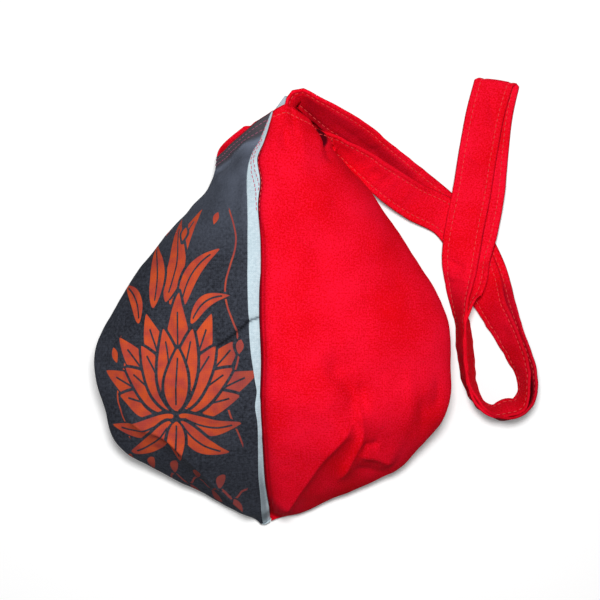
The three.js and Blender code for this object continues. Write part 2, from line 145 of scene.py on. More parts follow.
def nearest_on_line(plan: Array, line: Array) -> tuple[Array, Array, Array]:
    """Finds the nearest place on a line of short segments for each point.

    Args:
        plan: points, of shape (n, 2).
        line: corners of the line, of shape (m, 2).

    Returns:
        The distance, the side (1 on the left of the line's way, -1 on its right) and the share of
        the line's length at which the nearest place lies, each of shape (n,).
    """
    best = np.full(len(plan), 1e9)
    side = np.ones(len(plan))
    share = np.zeros(len(plan))
    starts = lengths_along(line)
    for k, length in enumerate(np.diff(starts)):
        way = (line[k + 1] - line[k]) / length
        away = plan - line[k]
        along = np.clip(away @ way, 0, length)
        off = away - along[:, None] * way
        distance = np.hypot(off[:, 0], off[:, 1])
        closer = distance < best
        best = np.where(closer, distance, best)
        cross = way[0] * away[:, 1] - way[1] * away[:, 0]
        side = np.where(closer, np.where(cross >= 0, 1.0, -1.0), side)
        share = np.where(closer, (starts[k] + along) / starts[-1], share)
    return best, side, share


@dataclass(frozen=True)
class Crease:
    """A fold line in the cloth, given by its line in plan, in millimetres.

    height is how far the crest stands up, or how deep a valley lies where it is negative. left and
    right are how far the cloth takes to come back to its level on either side of the line's way.
    soft is the crest's rounding, and fade the share of the line over which each end runs out.
    """

    line: tuple
    height: float
    left: float
    right: float
    soft: float = 1.0
    fade: float = 0.3

    def lift(self, plan: Array) -> Array:
        """Works out how far this fold lifts the cloth.

        Args:
            plan: points in plan, of shape (n, 2).

        Returns:
            The distances, of shape (n,).
        """
        distance, side, share = nearest_on_line(plan, smooth_line(self.line, LINE_POINTS))
        reach = np.where(side > 0, self.left, self.right)
        away = np.sqrt(distance**2 + self.soft**2) - self.soft
        ends = ease(share / self.fade) * ease((1 - share) / self.fade)
        return self.height * ends * np.exp(-away / reach)


# The pouch's form


@dataclass(frozen=True)
class Section:
    """One section of the pouch, in millimetres.

    It is given by its ridge, its outline on the left, its far seam and its outline on the right.
    crown says for either side how full the panel is, and sweep how the row bends on its way out.
    """

    ridge: tuple[float, float, float]
    left: tuple[float, float, float]
    under: tuple[float, float, float]
    right: tuple[float, float, float]
    crown: tuple[float, float]
    sweep: tuple[float, float] = (1, 1)


SECTIONS = (
    Section((8, 167, 72), (-31, 140, 24), (16, 163, 3), (50, 141, 14), (1.3, 1.8), (1, 4)),
    Section((-1, 140, 84), (-33, 124, 32), (12, 140, 0), (69, 121, 36), (1.35, 1.6), (1, 2)),
    Section((0, 107, 92), (-48, 104, 38), (9, 108, 0), (83, 100, 42), (1.4, 1.5)),
    Section((0, 74, 98), (-72, 76, 42), (6, 77, 0), (101, 76, 44), (1.4, 1.46)),
    Section((1, 39, 101), (-97, 39, 44), (4, 39, 0), (122, 39, 45), (1.4, 1.48)),
    Section((1, 5, 100), (-112, 4, 44), (1, 2, 0), (129, 4, 45), (1.4, 1.48)),
    Section((2, -26, 92), (-107, -29, 40), (0, -31, 0), (127, -29, 41), (1.4, 1.48)),
    Section((2, -55, 74), (-95, -58, 31), (0, -61, 0), (106, -58, 31), (1.35, 1.42)),
    Section((2.5, -76, 54), (-61, -79, 21), (1, -81, 0), (85, -79, 20), (1.35, 1.35)),
    Section((3, -94, 34), (-30, -97, 13), (2, -98, 0), (46, -97, 12), (1.3, 1.3)),
    Section((3, -111, 14), (-1, -112, 7), (3, -112, 0), (7, -111, 7), (1.3, 1.3)),
)


# Where the near seam lies across the ridge, as (y, x), and how far the cloth stands in (-) or out
# (+) from the sections' outline on each side, as (y, distance)
SEAM_LINE = (
    (167, 8.3), (152, 4.0), (142, 0.6), (135, -1.2), (119, 0.6), (104, -0.6), (80, 1.0), (31, 1.0),
    (4, 2.0), (-27, 1.0), (-55, 2.3), (-76, 3.3), (-97, 5.2), (-111, 5.6),
)
LEFT_TRIM = (
    (167, 0), (135, 0), (121, -0.7), (112, -0.6), (60, 0.1), (12, 0.6), (-8, 0.4), (-52, 0.3),
    (-66, 3.6), (-76, 4.8), (-92, 1.0), (-111, 0),
)
RIGHT_TRIM = (
    (167, 0), (120, 0.8), (80, 0.3), (40, 0.2), (10, 0.2), (-14, -0.8), (-28, 0.2), (-43, 3.2),
    (-60, 3.4), (-72, 3.2), (-83, 3.0), (-94, 0.2), (-103, 4.0), (-108, 2.6), (-111, 0.3),
)


class PouchForm:
    """The pouch's outer surface, at a run down the near seam and a turn round the section.

    The turn is 0 on the near seam, 0.5 on the outline and 1 on the far seam, on either side. All
    sizes are in millimetres.
    """

    RIDGE_SHARE = 0.5  # the turn at which the outline lies
    WRAP_SHARE = 0.75  # the turn at which the cloth has come round to the table
    FLAT_SHARE = 0.6   # how much of the way from the far seam to the outline lies flat

    def __init__(self) -> None:
        """Reads the sections into lists by run."""
        self.ridge, self.left, self.under, self.right, self.crown, self.sweep = (
            np.array([getattr(section, name) for section in SECTIONS], float)
            for name in ("ridge", "left", "under", "right", "crown", "sweep")
        )
        self.top = self.ridge[0, 1]
        self.runs = self.top - self.ridge[:, 1]
        self.last_run = self.runs[-1]

    def section(self, run: Array, side: Side) -> tuple[Array, ...]:
        """Reads the sections at each run, for one side of the ridge.

        Args:
            run: distance down the near seam, of shape (n,).
            side: which side of the ridge.

        Returns:
            The ridge, the outline and the far seam, each of shape (n, 3), and the crown and the
            sweep, each of shape (n,).
        """
        edge = smooth_run(self.runs, self.left if side is Side.LEFT else self.right, run)
        trim = LEFT_TRIM if side is Side.LEFT else RIGHT_TRIM
        edge[:, 0] += side.value * self.along(trim, run)
        ridge = smooth_run(self.runs, self.ridge, run)
        ridge[:, 0] = self.along(SEAM_LINE, run)
        column = 0 if side is Side.LEFT else 1
        under = smooth_run(self.runs, self.under, run)
        under[:, 2] = np.maximum(under[:, 2], 0)
        crown, sweep = (smooth_run(self.runs, both[:, column], run) for both in (self.crown, self.sweep))
        return ridge, edge, under, crown, sweep

    def along(self, line: tuple, run: Array) -> Array:
        """Returns the value of a (y, value) list at each run down the seam."""
        pairs = np.array(line, float)
        return smooth_run(self.top - pairs[:, 0], pairs[:, 1], run)

    def point(self, run: Array, share: Array, side: Side) -> Array:
        """Returns points of the surface on one side.

        Args:
            run: distance down the near seam, of shape (n,).
            share: turn from 0 on the ridge to 1 on the far seam, of shape (n,).
            side: which side of the ridge.

        Returns:
            The points, of shape (n, 3).
        """
        ridge, edge, under, crown, sweep = self.section(run, side)
        angle = np.clip(share / self.RIDGE_SHARE, 0, 1) * (math.pi / 2)
        across = np.sin(angle) ** (2 / crown)
        rise = np.maximum(np.cos(angle), 0) ** (2 / crown)
        top = np.stack([
            ridge[:, 0] + (edge[:, 0] - ridge[:, 0]) * across,
            ridge[:, 1] + (edge[:, 1] - ridge[:, 1]) * across ** sweep,
            edge[:, 2] + (ridge[:, 2] - edge[:, 2]) * rise,
        ], axis=1)
        part = np.clip((share - self.RIDGE_SHARE) / (self.WRAP_SHARE - self.RIDGE_SHARE), 0, 1)
        turn = part * (math.pi / 2)
        flat_x = under[:, 0] + (edge[:, 0] - under[:, 0]) * self.FLAT_SHARE
        wrap = np.stack([
            flat_x + (edge[:, 0] - flat_x) * np.cos(turn),
            edge[:, 1] + (under[:, 1] - edge[:, 1]) * part,
            under[:, 2] + (edge[:, 2] - under[:, 2]) * (1 - np.sin(turn)),
        ], axis=1)
        inward = np.clip((share - self.WRAP_SHARE) / (1 - self.WRAP_SHARE), 0, 1)
        flat = np.stack([flat_x + (under[:, 0] - flat_x) * inward, under[:, 1], under[:, 2]], axis=1)
        low = (share > self.RIDGE_SHARE)[:, None]
        lowest = (share > self.WRAP_SHARE)[:, None]
        return np.where(lowest, flat, np.where(low, wrap, top))


# Folds of the two panels, in plan

BACK_FOLDS = (
    Crease(((10.5, -106.5), (14.5, -99.5), (21.5, -88.5), (32, -73), (41.5, -59), (52, -47.5),
            (60.5, -38.5), (65, -35)), 8.0, 26, 7.5, 0.2, 0.16),
    Crease(((61, -22), (65.5, -34), (66.8, -44), (63, -56), (58, -68), (51, -84)),
           4.6, 7, 1.8, 0.3, 0.24),
    Crease(((63, -59), (77, -63), (92, -71)), 4.2, 8, 4.0, 0.8, 0.28),
    Crease(((56, -8), (62, -20), (66, -32)), -1.4, 7, 4, 2, 0.4),
    Crease(((66, -52), (72, -53), (80, -53.5)), -2.2, 2.5, 2.5, 0.8, 0.3),
    Crease(((58, -72), (72, -74), (92, -80)), -2.5, 4, 12, 1, 0.3),
    Crease(((32, 6), (36.6, -0.5), (45.8, -11.7), (55.7, -22.9), (64, -35)), 3.2, 4.5, 15, 1.2, 0.42),
    Crease(((40, 8), (46, 1), (54, -9), (62, -20), (68, -34)), -2.6, 8, 5, 2.0, 0.35),
    Crease(((66, -10), (68.5, -22), (69, -36)), -1.8, 3, 3, 1.0, 0.4),
    Crease(((106, -18), (108.5, -36), (108.5, -56)), -2.0, 6, 4, 2.0, 0.4),
    Crease(((97, 2), (100, -22), (98, -50)), 1.6, 6, 6, 3, 0.4),
    Crease(((117.5, -4), (120, -22), (117, -38)), -1.8, 4, 4, 1.5, 0.4),
    Crease(((15.5, 158), (17, 148), (18.5, 137)), -1.7, 3.5, 3.5, 1, 0.35),
    Crease(((25, 160), (27, 148), (26, 132)), 1.4, 5, 5, 2, 0.35),
    Crease(((43.6, 148), (46, 140), (48, 131)), -2.4, 4, 4, 1, 0.4),
    Crease(((36, 158), (39, 147), (42, 136)), 1.8, 4, 4, 2, 0.4),
    Crease(((35.6, 171), (37.6, 163), (40.4, 155), (43.6, 146.2), (45, 142)), -4.5, 1.8, 1.6, 0.3, 0.14),
    Crease(((42, 163), (45, 154), (48, 144)), 2.2, 2.5, 4, 0.8, 0.25),
    Crease(((20, 172), (22.5, 158), (24, 142)), -1.3, 3, 3, 1, 0.3),
    Crease(((60, 120), (74, 92), (86, 66)), 1.5, 12, 12, 4, 0.4),
)
FRONT_FOLDS = (
    Crease(((4, 32), (-7, 28.2), (-12, 23.8), (-19.6, 17.6), (-30.5, 10.4)), -2.6, 1.5, 2.2, 0.3, 0.14),
    Crease(((-6, 21), (-15, 15), (-27, 6)), 1.5, 5, 5, 2, 0.4),
    Crease(((-94, -28), (-78.3, -42.6), (-62.8, -47.5), (-54, -55), (-41.3, -66.9), (-25.9, -84.3),
            (-12.5, -97.5), (-2, -110)), 4.2, 12, 4.6, 0.25, 0.12),
    Crease(((-74, -44), (-62.8, -47.5), (-54, -55), (-41.3, -66.9), (-25.9, -84.3), (-12.5, -97.5),
            (-4, -108)), 1.3, 1.8, 1.8, 0.3, 0.12),
    Crease(((-84, -50), (-66, -62), (-46, -80), (-26, -98)), -2.5, 6, 8, 3, 0.3),
    Crease(((-37, 117), (-33, 120), (-23.3, 127), (-16.5, 134), (-10.5, 142), (-3.5, 152)),
           2.4, 3.0, 13, 0.5, 0.3),
    Crease(((-31, 127), (-25, 131), (-17, 141)), -1.6, 4, 5, 1.5, 0.35),
    Crease(((-113, -1), (-106, 0), (-99, 1)), -2.6, 2, 2, 0.5, 0.35),
    Crease(((-12, -33), (-6.3, -28), (-3.1, -21), (-1, -12)), -1.8, 3, 3, 0.8, 0.35),
    Crease(((-30, 118), (-40, 95), (-62, 66)), 1.6, 9, 9, 4, 0.4),
    Crease(((-50, 40), (-60, 20), (-64, -8)), -1.5, 9, 9, 4, 0.4),
    Crease(((-84, 30), (-92, 8), (-94, -14)), 1.5, 7, 7, 3, 0.4),
    Crease(((-22, 2), (-25, -20), (-30, -42)), 1.2, 7, 7, 3, 0.4),
)
DIAGONAL_PLEAT = ((4, 32), (-7, 28.2), (-12, 23.8), (-19.6, 17.6), (-31, 10.0))
MOUTH_PLEAT = ((36.2, 168), (37.6, 163), (40.4, 155), (43.6, 146.2), (44.4, 143.6))


def soft_noise(plan: Array, size: float, seed: int) -> Array:
    """Returns smooth random heights between about -1 and 1.

    Args:
        plan: points, of shape (n, 2).
        size: distance between the random heights, in the points' unit.
        seed: which field of heights.

    Returns:
        The heights, of shape (n,).
    """
    cells = 64
    heights = np.random.default_rng(seed).uniform(-1, 1, (cells, cells))
    place = plan / size + cells * 8
    low = np.floor(place).astype(int)
    t = ease(place - low)
    x0, y0 = low[:, 0] % cells, low[:, 1] % cells
    x1, y1 = (x0 + 1) % cells, (y0 + 1) % cells
    near = heights[x0, y0] * (1 - t[:, 0]) + heights[x1, y0] * t[:, 0]
    far = heights[x0, y1] * (1 - t[:, 0]) + heights[x1, y1] * t[:, 0]
    return near * (1 - t[:, 1]) + far * t[:, 1]


# Finishes


def linear(hex_code: str) -> tuple[float, float, float, float]:
    """Makes a colour for a node's socket.

    Args:
        hex_code: an sRGB hex value such as "F00A26".

    Returns:
        The linear red, green, blue and alpha.
    """
    shares = [int(hex_code[k:k + 2], 16) / 255 for k in (0, 2, 4)]
    straight = [c / 12.92 if c <= 0.04045 else ((c + 0.055) / 1.055) ** 2.4 for c in shares]
    return (*straight, 1.0)


def new_tree(owner: Material | bpy.types.World) -> Tree:
    """Gives a material or a world nodes of its own.

    Args:
        owner: a new material or world.

    Returns:
        Its emptied node tree.
    """
    owner.use_nodes = True
    owner.node_tree.nodes.clear()
    return owner.node_tree


def add_node(tree: Tree, kind: str, inputs: dict | tuple = (), **settings) -> Node:
    """Adds a node, sets its properties and fills its sockets.

    Args:
        tree: the node tree of a material or a world.
        kind: the node's type name after "ShaderNode".
        inputs: socket name or number to what fills it, or the fillings of the first sockets in
            order. Each is a value, another node's output socket, or another node, which stands
            for its first output.
        **settings: properties of the node itself.

    Returns:
        The new node.
    """
    node = tree.nodes.new("ShaderNode" + kind)
    for name, value in settings.items():
        setattr(node, name, value)
    for key, value in (inputs.items() if isinstance(inputs, dict) else enumerate(inputs)):
        if isinstance(value, Node):
            value = value.outputs[0]
        if isinstance(value, Socket):
            tree.links.new(value, node.inputs[key])
        else:
            node.inputs[key].default_value = value
    return node


@dataclass(frozen=True)
class WovenCotton:
    """Dyed cotton in a plain weave: matt, softly mottled, with threads that stand up a little."""

    name: str
    bright: str
    dull: str
    shade_paint: str             # the colour of the painted shade in creases, grooves and between close layers
    thread: float = 1.5   # millimetres; the real 0.4 mm thread is drawn coarser so that it shows
    slub: float = 0.9     # millimetres, the size of the yarn's unevenness
    nap: float = 2.2      # millimetres, the size of the brushed mottling
    patch: float = 38     # millimetres, the size of the broad, faint patches
    patch_share: float = 0.35
    relief: float = 0.16  # millimetres, how far the threads stand up
    contrast: float = 0.5
    evenness: float = 0.16
    sheen: float = 0.1
    gloss: float = 0.07
    roughness: float = 0.88

    def build(self) -> Material:
        """Makes the material, with its weave on the piece's own cloth map.

        Returns:
            The material.
        """
        material = bpy.data.materials.new(self.name)
        tree = new_tree(material)
        cloth_map = add_node(tree, "UVMap", uv_map="cloth").outputs[0]
        threads = self.threads(tree, cloth_map)
        # Painted shade: this attribute mixes the shade colour in where the cloth would lie in shade
        painted_shade = add_node(tree, "Attribute", attribute_name="painted_shade").outputs["Fac"]
        color = add_node(tree, "Mix", {
            "Factor": painted_shade, 6: self.color(tree, cloth_map, threads), 7: linear(self.shade_paint),
        }, data_type="RGBA").outputs[2]
        bump = add_node(tree, "Bump", {"Strength": 1.0, "Distance": self.relief * MM, "Height": threads})
        shader = add_node(tree, "BsdfPrincipled", {
            "Base Color": color, "Roughness": self.roughness, "Normal": bump,
            "Specular IOR Level": self.gloss, "Sheen Weight": self.sheen, "Sheen Roughness": 0.45,
            "Sheen Tint": linear(self.bright),
        })
        add_node(tree, "OutputMaterial", {"Surface": shader})
        return material

    def dye(self, tree: Tree, cloth_map: Socket) -> Socket:
        """Makes the dyed ground: fine speckle of the nap over broad, faint patches.

        Args:
            tree: the material's node tree.
            cloth_map: the socket of the flat cloth coordinates.

        Returns:
            The socket of its colour.
        """
        fine = add_node(tree, "TexNoise", {
            "Vector": cloth_map, "Scale": 1 / (self.nap * MM), "Detail": 4.0, "Roughness": 0.7,
        })
        broad = add_node(tree, "TexNoise", {
            "Vector": cloth_map, "Scale": 1 / (self.patch * MM), "Detail": 2.0,
        })
        both = add_node(tree, "Math", (broad, self.patch_share, fine), operation="MULTIPLY_ADD")
        middle = 0.5 * (1 + self.patch_share)
        spread = add_node(tree, "MapRange", (both, middle - self.evenness, middle + self.evenness))
        return add_node(tree, "Mix", {
            "Factor": spread, 6: linear(self.dull), 7: linear(self.bright),
        }, data_type="RGBA").outputs[2]

    def color(self, tree: Tree, cloth_map: Socket, threads: Socket) -> Socket:
        """Makes the ground, a little darker between its threads.

        Args:
            tree: the material's node tree.
            cloth_map: the socket of the flat cloth coordinates.
            threads: the socket of the threads' height.

        Returns:
            The socket of its colour.
        """
        between = add_node(tree, "MapRange", (threads, 0.1, 1.1, 1 - 0.3 * self.contrast, 1.04))
        return add_node(tree, "Mix", {
            "Factor": 1.0, 6: self.dye(tree, cloth_map), 7: between,
        }, data_type="RGBA", blend_type="MULTIPLY").outputs[2]

    def threads(self, tree: Tree, cloth_map: Socket) -> Socket:
        """Makes the threads: warp and weft, with the unevenness of spun yarn.

        Args:
            tree: the material's node tree.
            cloth_map: the socket of the flat cloth coordinates.

        Returns:
            The socket of their height.
        """
        warp, weft = (add_node(tree, "TexWave", {
            "Vector": cloth_map, "Scale": 0.314 / (self.thread * MM), "Distortion": 2.2, "Detail": 2.0,
            "Detail Scale": 2.0,
        }, bands_direction=direction).outputs["Fac"] for direction in ("X", "Y"))
        crossed = add_node(tree, "Math", (warp, weft), operation="MULTIPLY")
        slub = add_node(tree, "TexNoise", {
            "Vector": cloth_map, "Scale": 1 / (self.slub * MM), "Detail": 3.0, "Roughness": 0.7,
        })
        return add_node(tree, "Math", (crossed, 0.45, slub), operation="MULTIPLY_ADD").outputs[0]


@dataclass(frozen=True)
class PrintedCotton(WovenCotton):
    """Cotton with a screen-printed ornament, whose shapes are read from the piece's attributes.

    The ink lies on top of the threads, so it is broken up by them and dull where it lies thin.
    """

    # the colour of the painted highlight below the mouth's hem
    painted_highlight: str = "788092"
    hem: str = "5E565C"
    ink: str = "D8562C"
    ink_red: str = "B9463A"
    ink_thin: str = "8A4242"
    vein: float = 0.65       # millimetres, half the width of the bare lines inside a leaf
    line: float = 0.6        # millimetres, half the width of a drawn line
    edge: float = 0.2        # millimetres, half the width of the ink's soft edge
    vein_reach: float = 1.6  # millimetres past which the side of a vein isn't known
    line_reach: float = 2.0  # millimetres, the same for a drawn line

    def within(self, tree: Tree, name: str, limit: float) -> Node:
        """Compares an attribute's size with a limit, with a soft step.

        Args:
            tree: the material's node tree.
            name: the attribute's name.
            limit: the limit in millimetres.

        Returns:
            A node that gives 1 under the limit and 0 past it.
        """
        value = add_node(tree, "Attribute", attribute_name=name).outputs["Fac"]
        size = add_node(tree, "Math", (value,), operation="ABSOLUTE")
        return add_node(tree, "MapRange", (size, limit - self.edge, limit + self.edge, 1.0, 0.0))

    def drawn(self, tree: Tree, name: str, half_width: float, reach: float) -> Node:
        """Draws a thin line by its signed distance, only where its plain one is small.

        Args:
            tree: the material's node tree.
            name: the name of the signed distance's attribute.
            half_width: half the line's width in millimetres.
            reach: the limit for the plain distance in millimetres.

        Returns:
            A node that gives 1 on the line and 0 beside it.
        """
        on_line, near = self.within(tree, name, half_width), self.within(tree, name + "_near", reach)
        return add_node(tree, "Math", (on_line, near), operation="MULTIPLY")

    def ground(self, tree: Tree, cloth_map: Socket, threads: Socket) -> Socket:
        """Makes the cloth, with a painted highlight in patches below the mouth's hem, and dull in the hem.

        Args:
            tree: the material's node tree.
            cloth_map: the socket of the flat cloth coordinates.
            threads: the socket of the threads' height.

        Returns:
            The socket of its colour.
        """
        run = add_node(tree, "SeparateXYZ", (cloth_map,)).outputs["Y"]
        patchy = add_node(tree, "TexNoise", {"Vector": cloth_map, "Scale": 1 / (16 * MM), "Detail": 2.0})
        highlight_share = 1.0
        # Painted highlight, by run: strongest below the hem, and gone 95 mm down; and in patches
        for ends in (
            (run, 16 * MM, 24 * MM, 1.0, 0.45), (run, 32 * MM, 95 * MM, 1.0, 0.0),
            (run, 11 * MM, 15 * MM, 0.1, 1.0), (patchy, 0.36, 0.6, 0.65, 1.0),
        ):
            share = add_node(tree, "MapRange", ends)
            highlight_share = add_node(tree, "Math", (highlight_share, share), operation="MULTIPLY")
        in_hem = add_node(tree, "MapRange", (run, 10 * MM, 14 * MM, 0.75, 0.0))
        ground = super().color(tree, cloth_map, threads)
        for share, tint in ((highlight_share, self.painted_highlight), (in_hem, self.hem)):
            ground = add_node(tree, "Mix", {
                "Factor": share, 6: ground, 7: linear(tint),
            }, data_type="RGBA").outputs[2]
        return ground

    def dry_ink(self, tree: Tree, cloth_map: Socket) -> Socket:
        """Makes the ink: worn in patches, and thinner by the piece's own tone.

        Args:
            tree: the material's node tree.
            cloth_map: the socket of the flat cloth coordinates.

        Returns:
            The socket of its colour.
        """
        worn = add_node(tree, "TexNoise", {"Vector": cloth_map, "Scale": 1 / (11 * MM), "Detail": 3.0})
        shift = add_node(tree, "MapRange", (worn, 0.36, 0.62))
        ink = linear(self.ink)
        tone = add_node(tree, "Attribute", attribute_name="print_tone").outputs["Fac"]
        for share, other in ((shift, self.ink_red), (tone, self.ink_thin)):
            ink = add_node(tree, "Mix", {
                "Factor": share, 6: linear(other), 7: ink,
            }, data_type="RGBA").outputs[2]
        return ink

    def color(self, tree: Tree, cloth_map: Socket, threads: Socket) -> Socket:
        """Lays the ornament's ink on the cloth.

        Args:
            tree: the material's node tree.
            cloth_map: the socket of the flat cloth coordinates.
            threads: the socket of the threads' height.

        Returns:
            The socket of the colour.
        """
        fill = add_node(tree, "Attribute", attribute_name="print_fill").outputs["Fac"]
        leaf = add_node(tree, "MapRange", (fill, -self.edge, self.edge))
        vein = self.drawn(tree, "print_vein", self.vein, self.vein_reach)
        line = self.drawn(tree, "print_line", self.line, self.line_reach)
        cover = add_node(tree, "MapRange", (threads, 0.25, 0.6, 0.72, 0.97))
        amount = add_node(tree, "Math", (1.0, vein), operation="SUBTRACT")
        for operation, other in (("MULTIPLY", leaf), ("MAXIMUM", line), ("MULTIPLY", cover)):
            amount = add_node(tree, "Math", (amount, other), operation=operation)
        return add_node(tree, "Mix", {
            "Factor": amount, 6: self.ground(tree, cloth_map, threads), 7: self.dry_ink(tree, cloth_map),
        }, data_type="RGBA").outputs[2]


@dataclass(frozen=True)
class SewingThread:
    """Spun polyester thread: a faint gloss on its twist."""

    name: str
    color: str
    twist: float = 3.0  # millimetres, the size of the mottling
    roughness: float = 0.6

    def build(self) -> Material:
        """Makes the material, mottled along the thread.

        Returns:
            The material.
        """
        material = bpy.data.materials.new(self.name)
        tree = new_tree(material)
        place = add_node(tree, "TexCoord").outputs["Object"]
        twist = add_node(tree, "TexNoise", {
            "Vector": place, "Scale": 1 / (self.twist * MM), "Detail": 2.0,
        })
        shade = add_node(tree, "MapRange", (twist, 0.3, 0.7, 0.72, 1.1))
        color = add_node(tree, "Mix", {
            "Factor": 1.0, 6: linear(self.color), 7: shade,
        }, data_type="RGBA", blend_type="MULTIPLY").outputs[2]
        shader = add_node(tree, "BsdfPrincipled", {"Base Color": color, "Roughness": self.roughness})
        add_node(tree, "OutputMaterial", {"Surface": shader})
        return material


@dataclass(frozen=True)
class Finishes:
    """The cloths and threads of which the bag is made."""

    red: Material
    charcoal: Material
    white: Material
    mouth_thread: Material
    slit_thread: Material
    red_thread: Material


# Meshes


def new_object(name: str, data: bpy.types.ID) -> Piece:
    """Links a mesh, a lamp or a camera into the scene as a new object at the origin.

    Args:
        name: the object's name.
        data: what it shows.

    Returns:
        The object.
    """
    piece = bpy.data.objects.new(name, data)
    bpy.context.scene.collection.objects.link(piece)
    return piece


def new_mesh(name: str, points: Array, faces: list) -> Mesh:
    """Makes a mesh.

    Args:
        name: the mesh's name.
        points: places in millimetres, of shape (..., 3).
        faces: lists of point numbers.

    Returns:
        The mesh, in metres.
    """
    mesh = bpy.data.meshes.new(name)
    mesh.from_pydata((points.reshape(-1, 3) * MM).tolist(), [], faces)
    return mesh


def grid_mesh(name: str, points: Array, cloth_map: Array, fields: dict) -> Mesh:
    """Makes an open sheet from a grid of points.

    Args:
        name: the mesh's name.
        points: places in millimetres, of shape (rows, columns, 3).
        cloth_map: flat cloth coordinates in millimetres, of shape (rows, columns, 2).
        fields: attribute name to its values, each of shape (rows, columns).

    Returns:
        The mesh, with its map named cloth in metres.
    """
    rows, columns = points.shape[:2]
    index = np.arange(rows * columns).reshape(rows, columns)
    quads = np.stack([index[:-1, :-1], index[1:, :-1], index[1:, 1:], index[:-1, 1:]], axis=-1)
    mesh = new_mesh(name, points, quads.reshape(-1, 4).tolist())
    write_map(mesh, cloth_map)
    for field_name, values in fields.items():
        write_field(mesh, field_name, values)
    return mesh


def write_map(mesh: Mesh, cloth_map: Array) -> None:
    """Writes one flat cloth coordinate for each vertex.

    Args:
        mesh: the mesh.
        cloth_map: coordinates in millimetres, of shape (..., 2).
    """
    layer = mesh.uv_layers.new(name="cloth")
    corners = np.zeros(len(mesh.loops), np.int32)
    mesh.loops.foreach_get("vertex_index", corners)
    layer.data.foreach_set("uv", (cloth_map.reshape(-1, 2)[corners] * MM).ravel())


def write_field(mesh: Mesh, name: str, values: Array) -> None:
    """Writes one value for each vertex, as an attribute that a finish reads."""
    attribute = mesh.attributes.new(name, "FLOAT", "POINT")
    attribute.data.foreach_set("value", values.ravel().astype(np.float32))


def apply_modifier(piece: Piece, kind: str, **settings) -> None:
    """Adds a modifier to a piece and applies it.

    Args:
        piece: the piece's object.
        kind: the modifier's type.
        **settings: properties of the modifier.
    """
    bpy.ops.object.select_all(action="DESELECT")
    bpy.context.view_layer.objects.active = piece
    piece.select_set(True)
    modifier = piece.modifiers.new(kind.lower(), kind)
    for name, value in settings.items():
        setattr(modifier, name, value)
    bpy.ops.object.modifier_apply(modifier=modifier.name)
    piece.select_set(False)


def grid_normals(points: Array) -> Array:
    """Returns the normal at each point of a grid, on the side where rows cross columns."""
    return unit(np.cross(np.gradient(points, axis=0), np.gradient(points, axis=1)))


def cloth_coordinates(points: Array) -> Array:
    """Lays a grid out flat.

    Args:
        points: places in millimetres, of shape (rows, columns, 3).

    Returns:
        The length across from the first column and the mean length down, of shape
        (rows, columns, 2).
    """
    across = np.linalg.norm(np.diff(points, axis=1), axis=2)
    along = np.linalg.norm(np.diff(points, axis=0), axis=2).mean(axis=1)
    u = np.concatenate([np.zeros((len(points), 1)), np.cumsum(across, axis=1)], axis=1)
    v = np.concatenate([[0.0], np.cumsum(along)])
    return np.stack([u, np.repeat(v[:, None], points.shape[1], axis=1)], axis=-1)


def grid_area(points: Array) -> float:
    """Returns the area of a grid's sheet in square metres."""
    one, two = points[1:, 1:] - points[:-1, :-1], points[1:, :-1] - points[:-1, 1:]
    return float(np.linalg.norm(np.cross(one, two), axis=-1).sum() / 2) * MM * MM


def dress(piece: Piece, material: Material, nodes: tuple = (), body: str = "bag") -> None:
    """Gives a piece its look, hangs it on its body and hides the CAD parts that it stands for.

    Args:
        piece: the piece's object.
        material: its finish.
        nodes: the CAD nodes that it stands for.
        body: the body that it is hung on, or none to leave it unattached.
    """
    piece.data.materials.append(material)
    piece.data.polygons.foreach_set("use_smooth", [True] * len(piece.data.polygons))
    if body:
        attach(piece, body)
    if nodes:
        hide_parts(*nodes)
    LOG.info("%s: %d faces", piece.name, len(piece.data.polygons))


@dataclass(frozen=True)
class Cut:
    """One cut piece of the pouch's cloth: its look, its wall and how it is held."""

    name: str
    finish: Material
    slot: str
    nodes: tuple = ()
    held: str = "folded"
    rests_on: tuple = ()
    wall: float = CLOTH
    offset: float = -1  # -1 puts the wall inside the given surface, and 0 on both sides of it
    rounded: bool = False

    LEAST_WIDTH = 10.1  # millimetres, just over the least width that can be declared
    LEAST_FILL = 0.31   # just over the least share of its rectangle that a sheet can fill

    def make(self, points: Array, flat: Array, order: tuple | slice, fields: dict | None = None) -> None:
        """Makes the piece from its outer surface.

        Args:
            points: the surface in millimetres, of shape (rows, columns, 3).
            flat: flat cloth coordinates in millimetres, of shape (rows, columns, 2).
            order: the order of rows and columns in which its faces look outwards.
            fields: attributes of its points, each of shape (rows, columns).
        """
        kept = {key: values[order] for key, values in (fields or {}).items()}
        piece = new_object(self.name, grid_mesh(self.name, points[order], flat[order], kept))
        if self.rounded:
            apply_modifier(piece, "SUBSURF", levels=1, render_levels=1)
        apply_modifier(piece, "SOLIDIFY", thickness=self.wall * MM, offset=self.offset)
        dress(piece, self.finish, self.nodes)
        self.declare(piece, points)

    def declare(self, piece: Piece, points: Array) -> None:
        """Args:
            piece: the piece's object.
            points: its outer surface in millimetres, of shape (rows, columns, 3).
        """
        flat = cloth_coordinates(points)
        width, length = float(flat[:, -1, 0].max()) * MM, float(flat[-1, 0, 1]) * MM
        area = grid_area(points)
        width = max(width, area / length, self.LEAST_WIDTH * MM)
        area = max(area, self.LEAST_FILL * width * length)
        LOG.info("%s: cut %.0f x %.0f mm, %.4f m2", piece.name, width / MM, length / MM, area)


# Stitches


def read_line(line: Array, stations: Array, at: Array) -> Array:
    """Returns the points of a line of straight steps at given lengths along it."""
    return np.stack([np.interp(at, stations, line[:, k]) for k in range(3)], axis=1)


def thread_line(grid: Array, up: Array, rows: Array | slice | int, columns: Array | slice | int) -> tuple:
    """Returns a line of a grid, raised to where a thread lies, with its outward directions."""
    outward = up[rows, columns]
    return grid[rows, columns] + outward * THREAD_RISE, outward


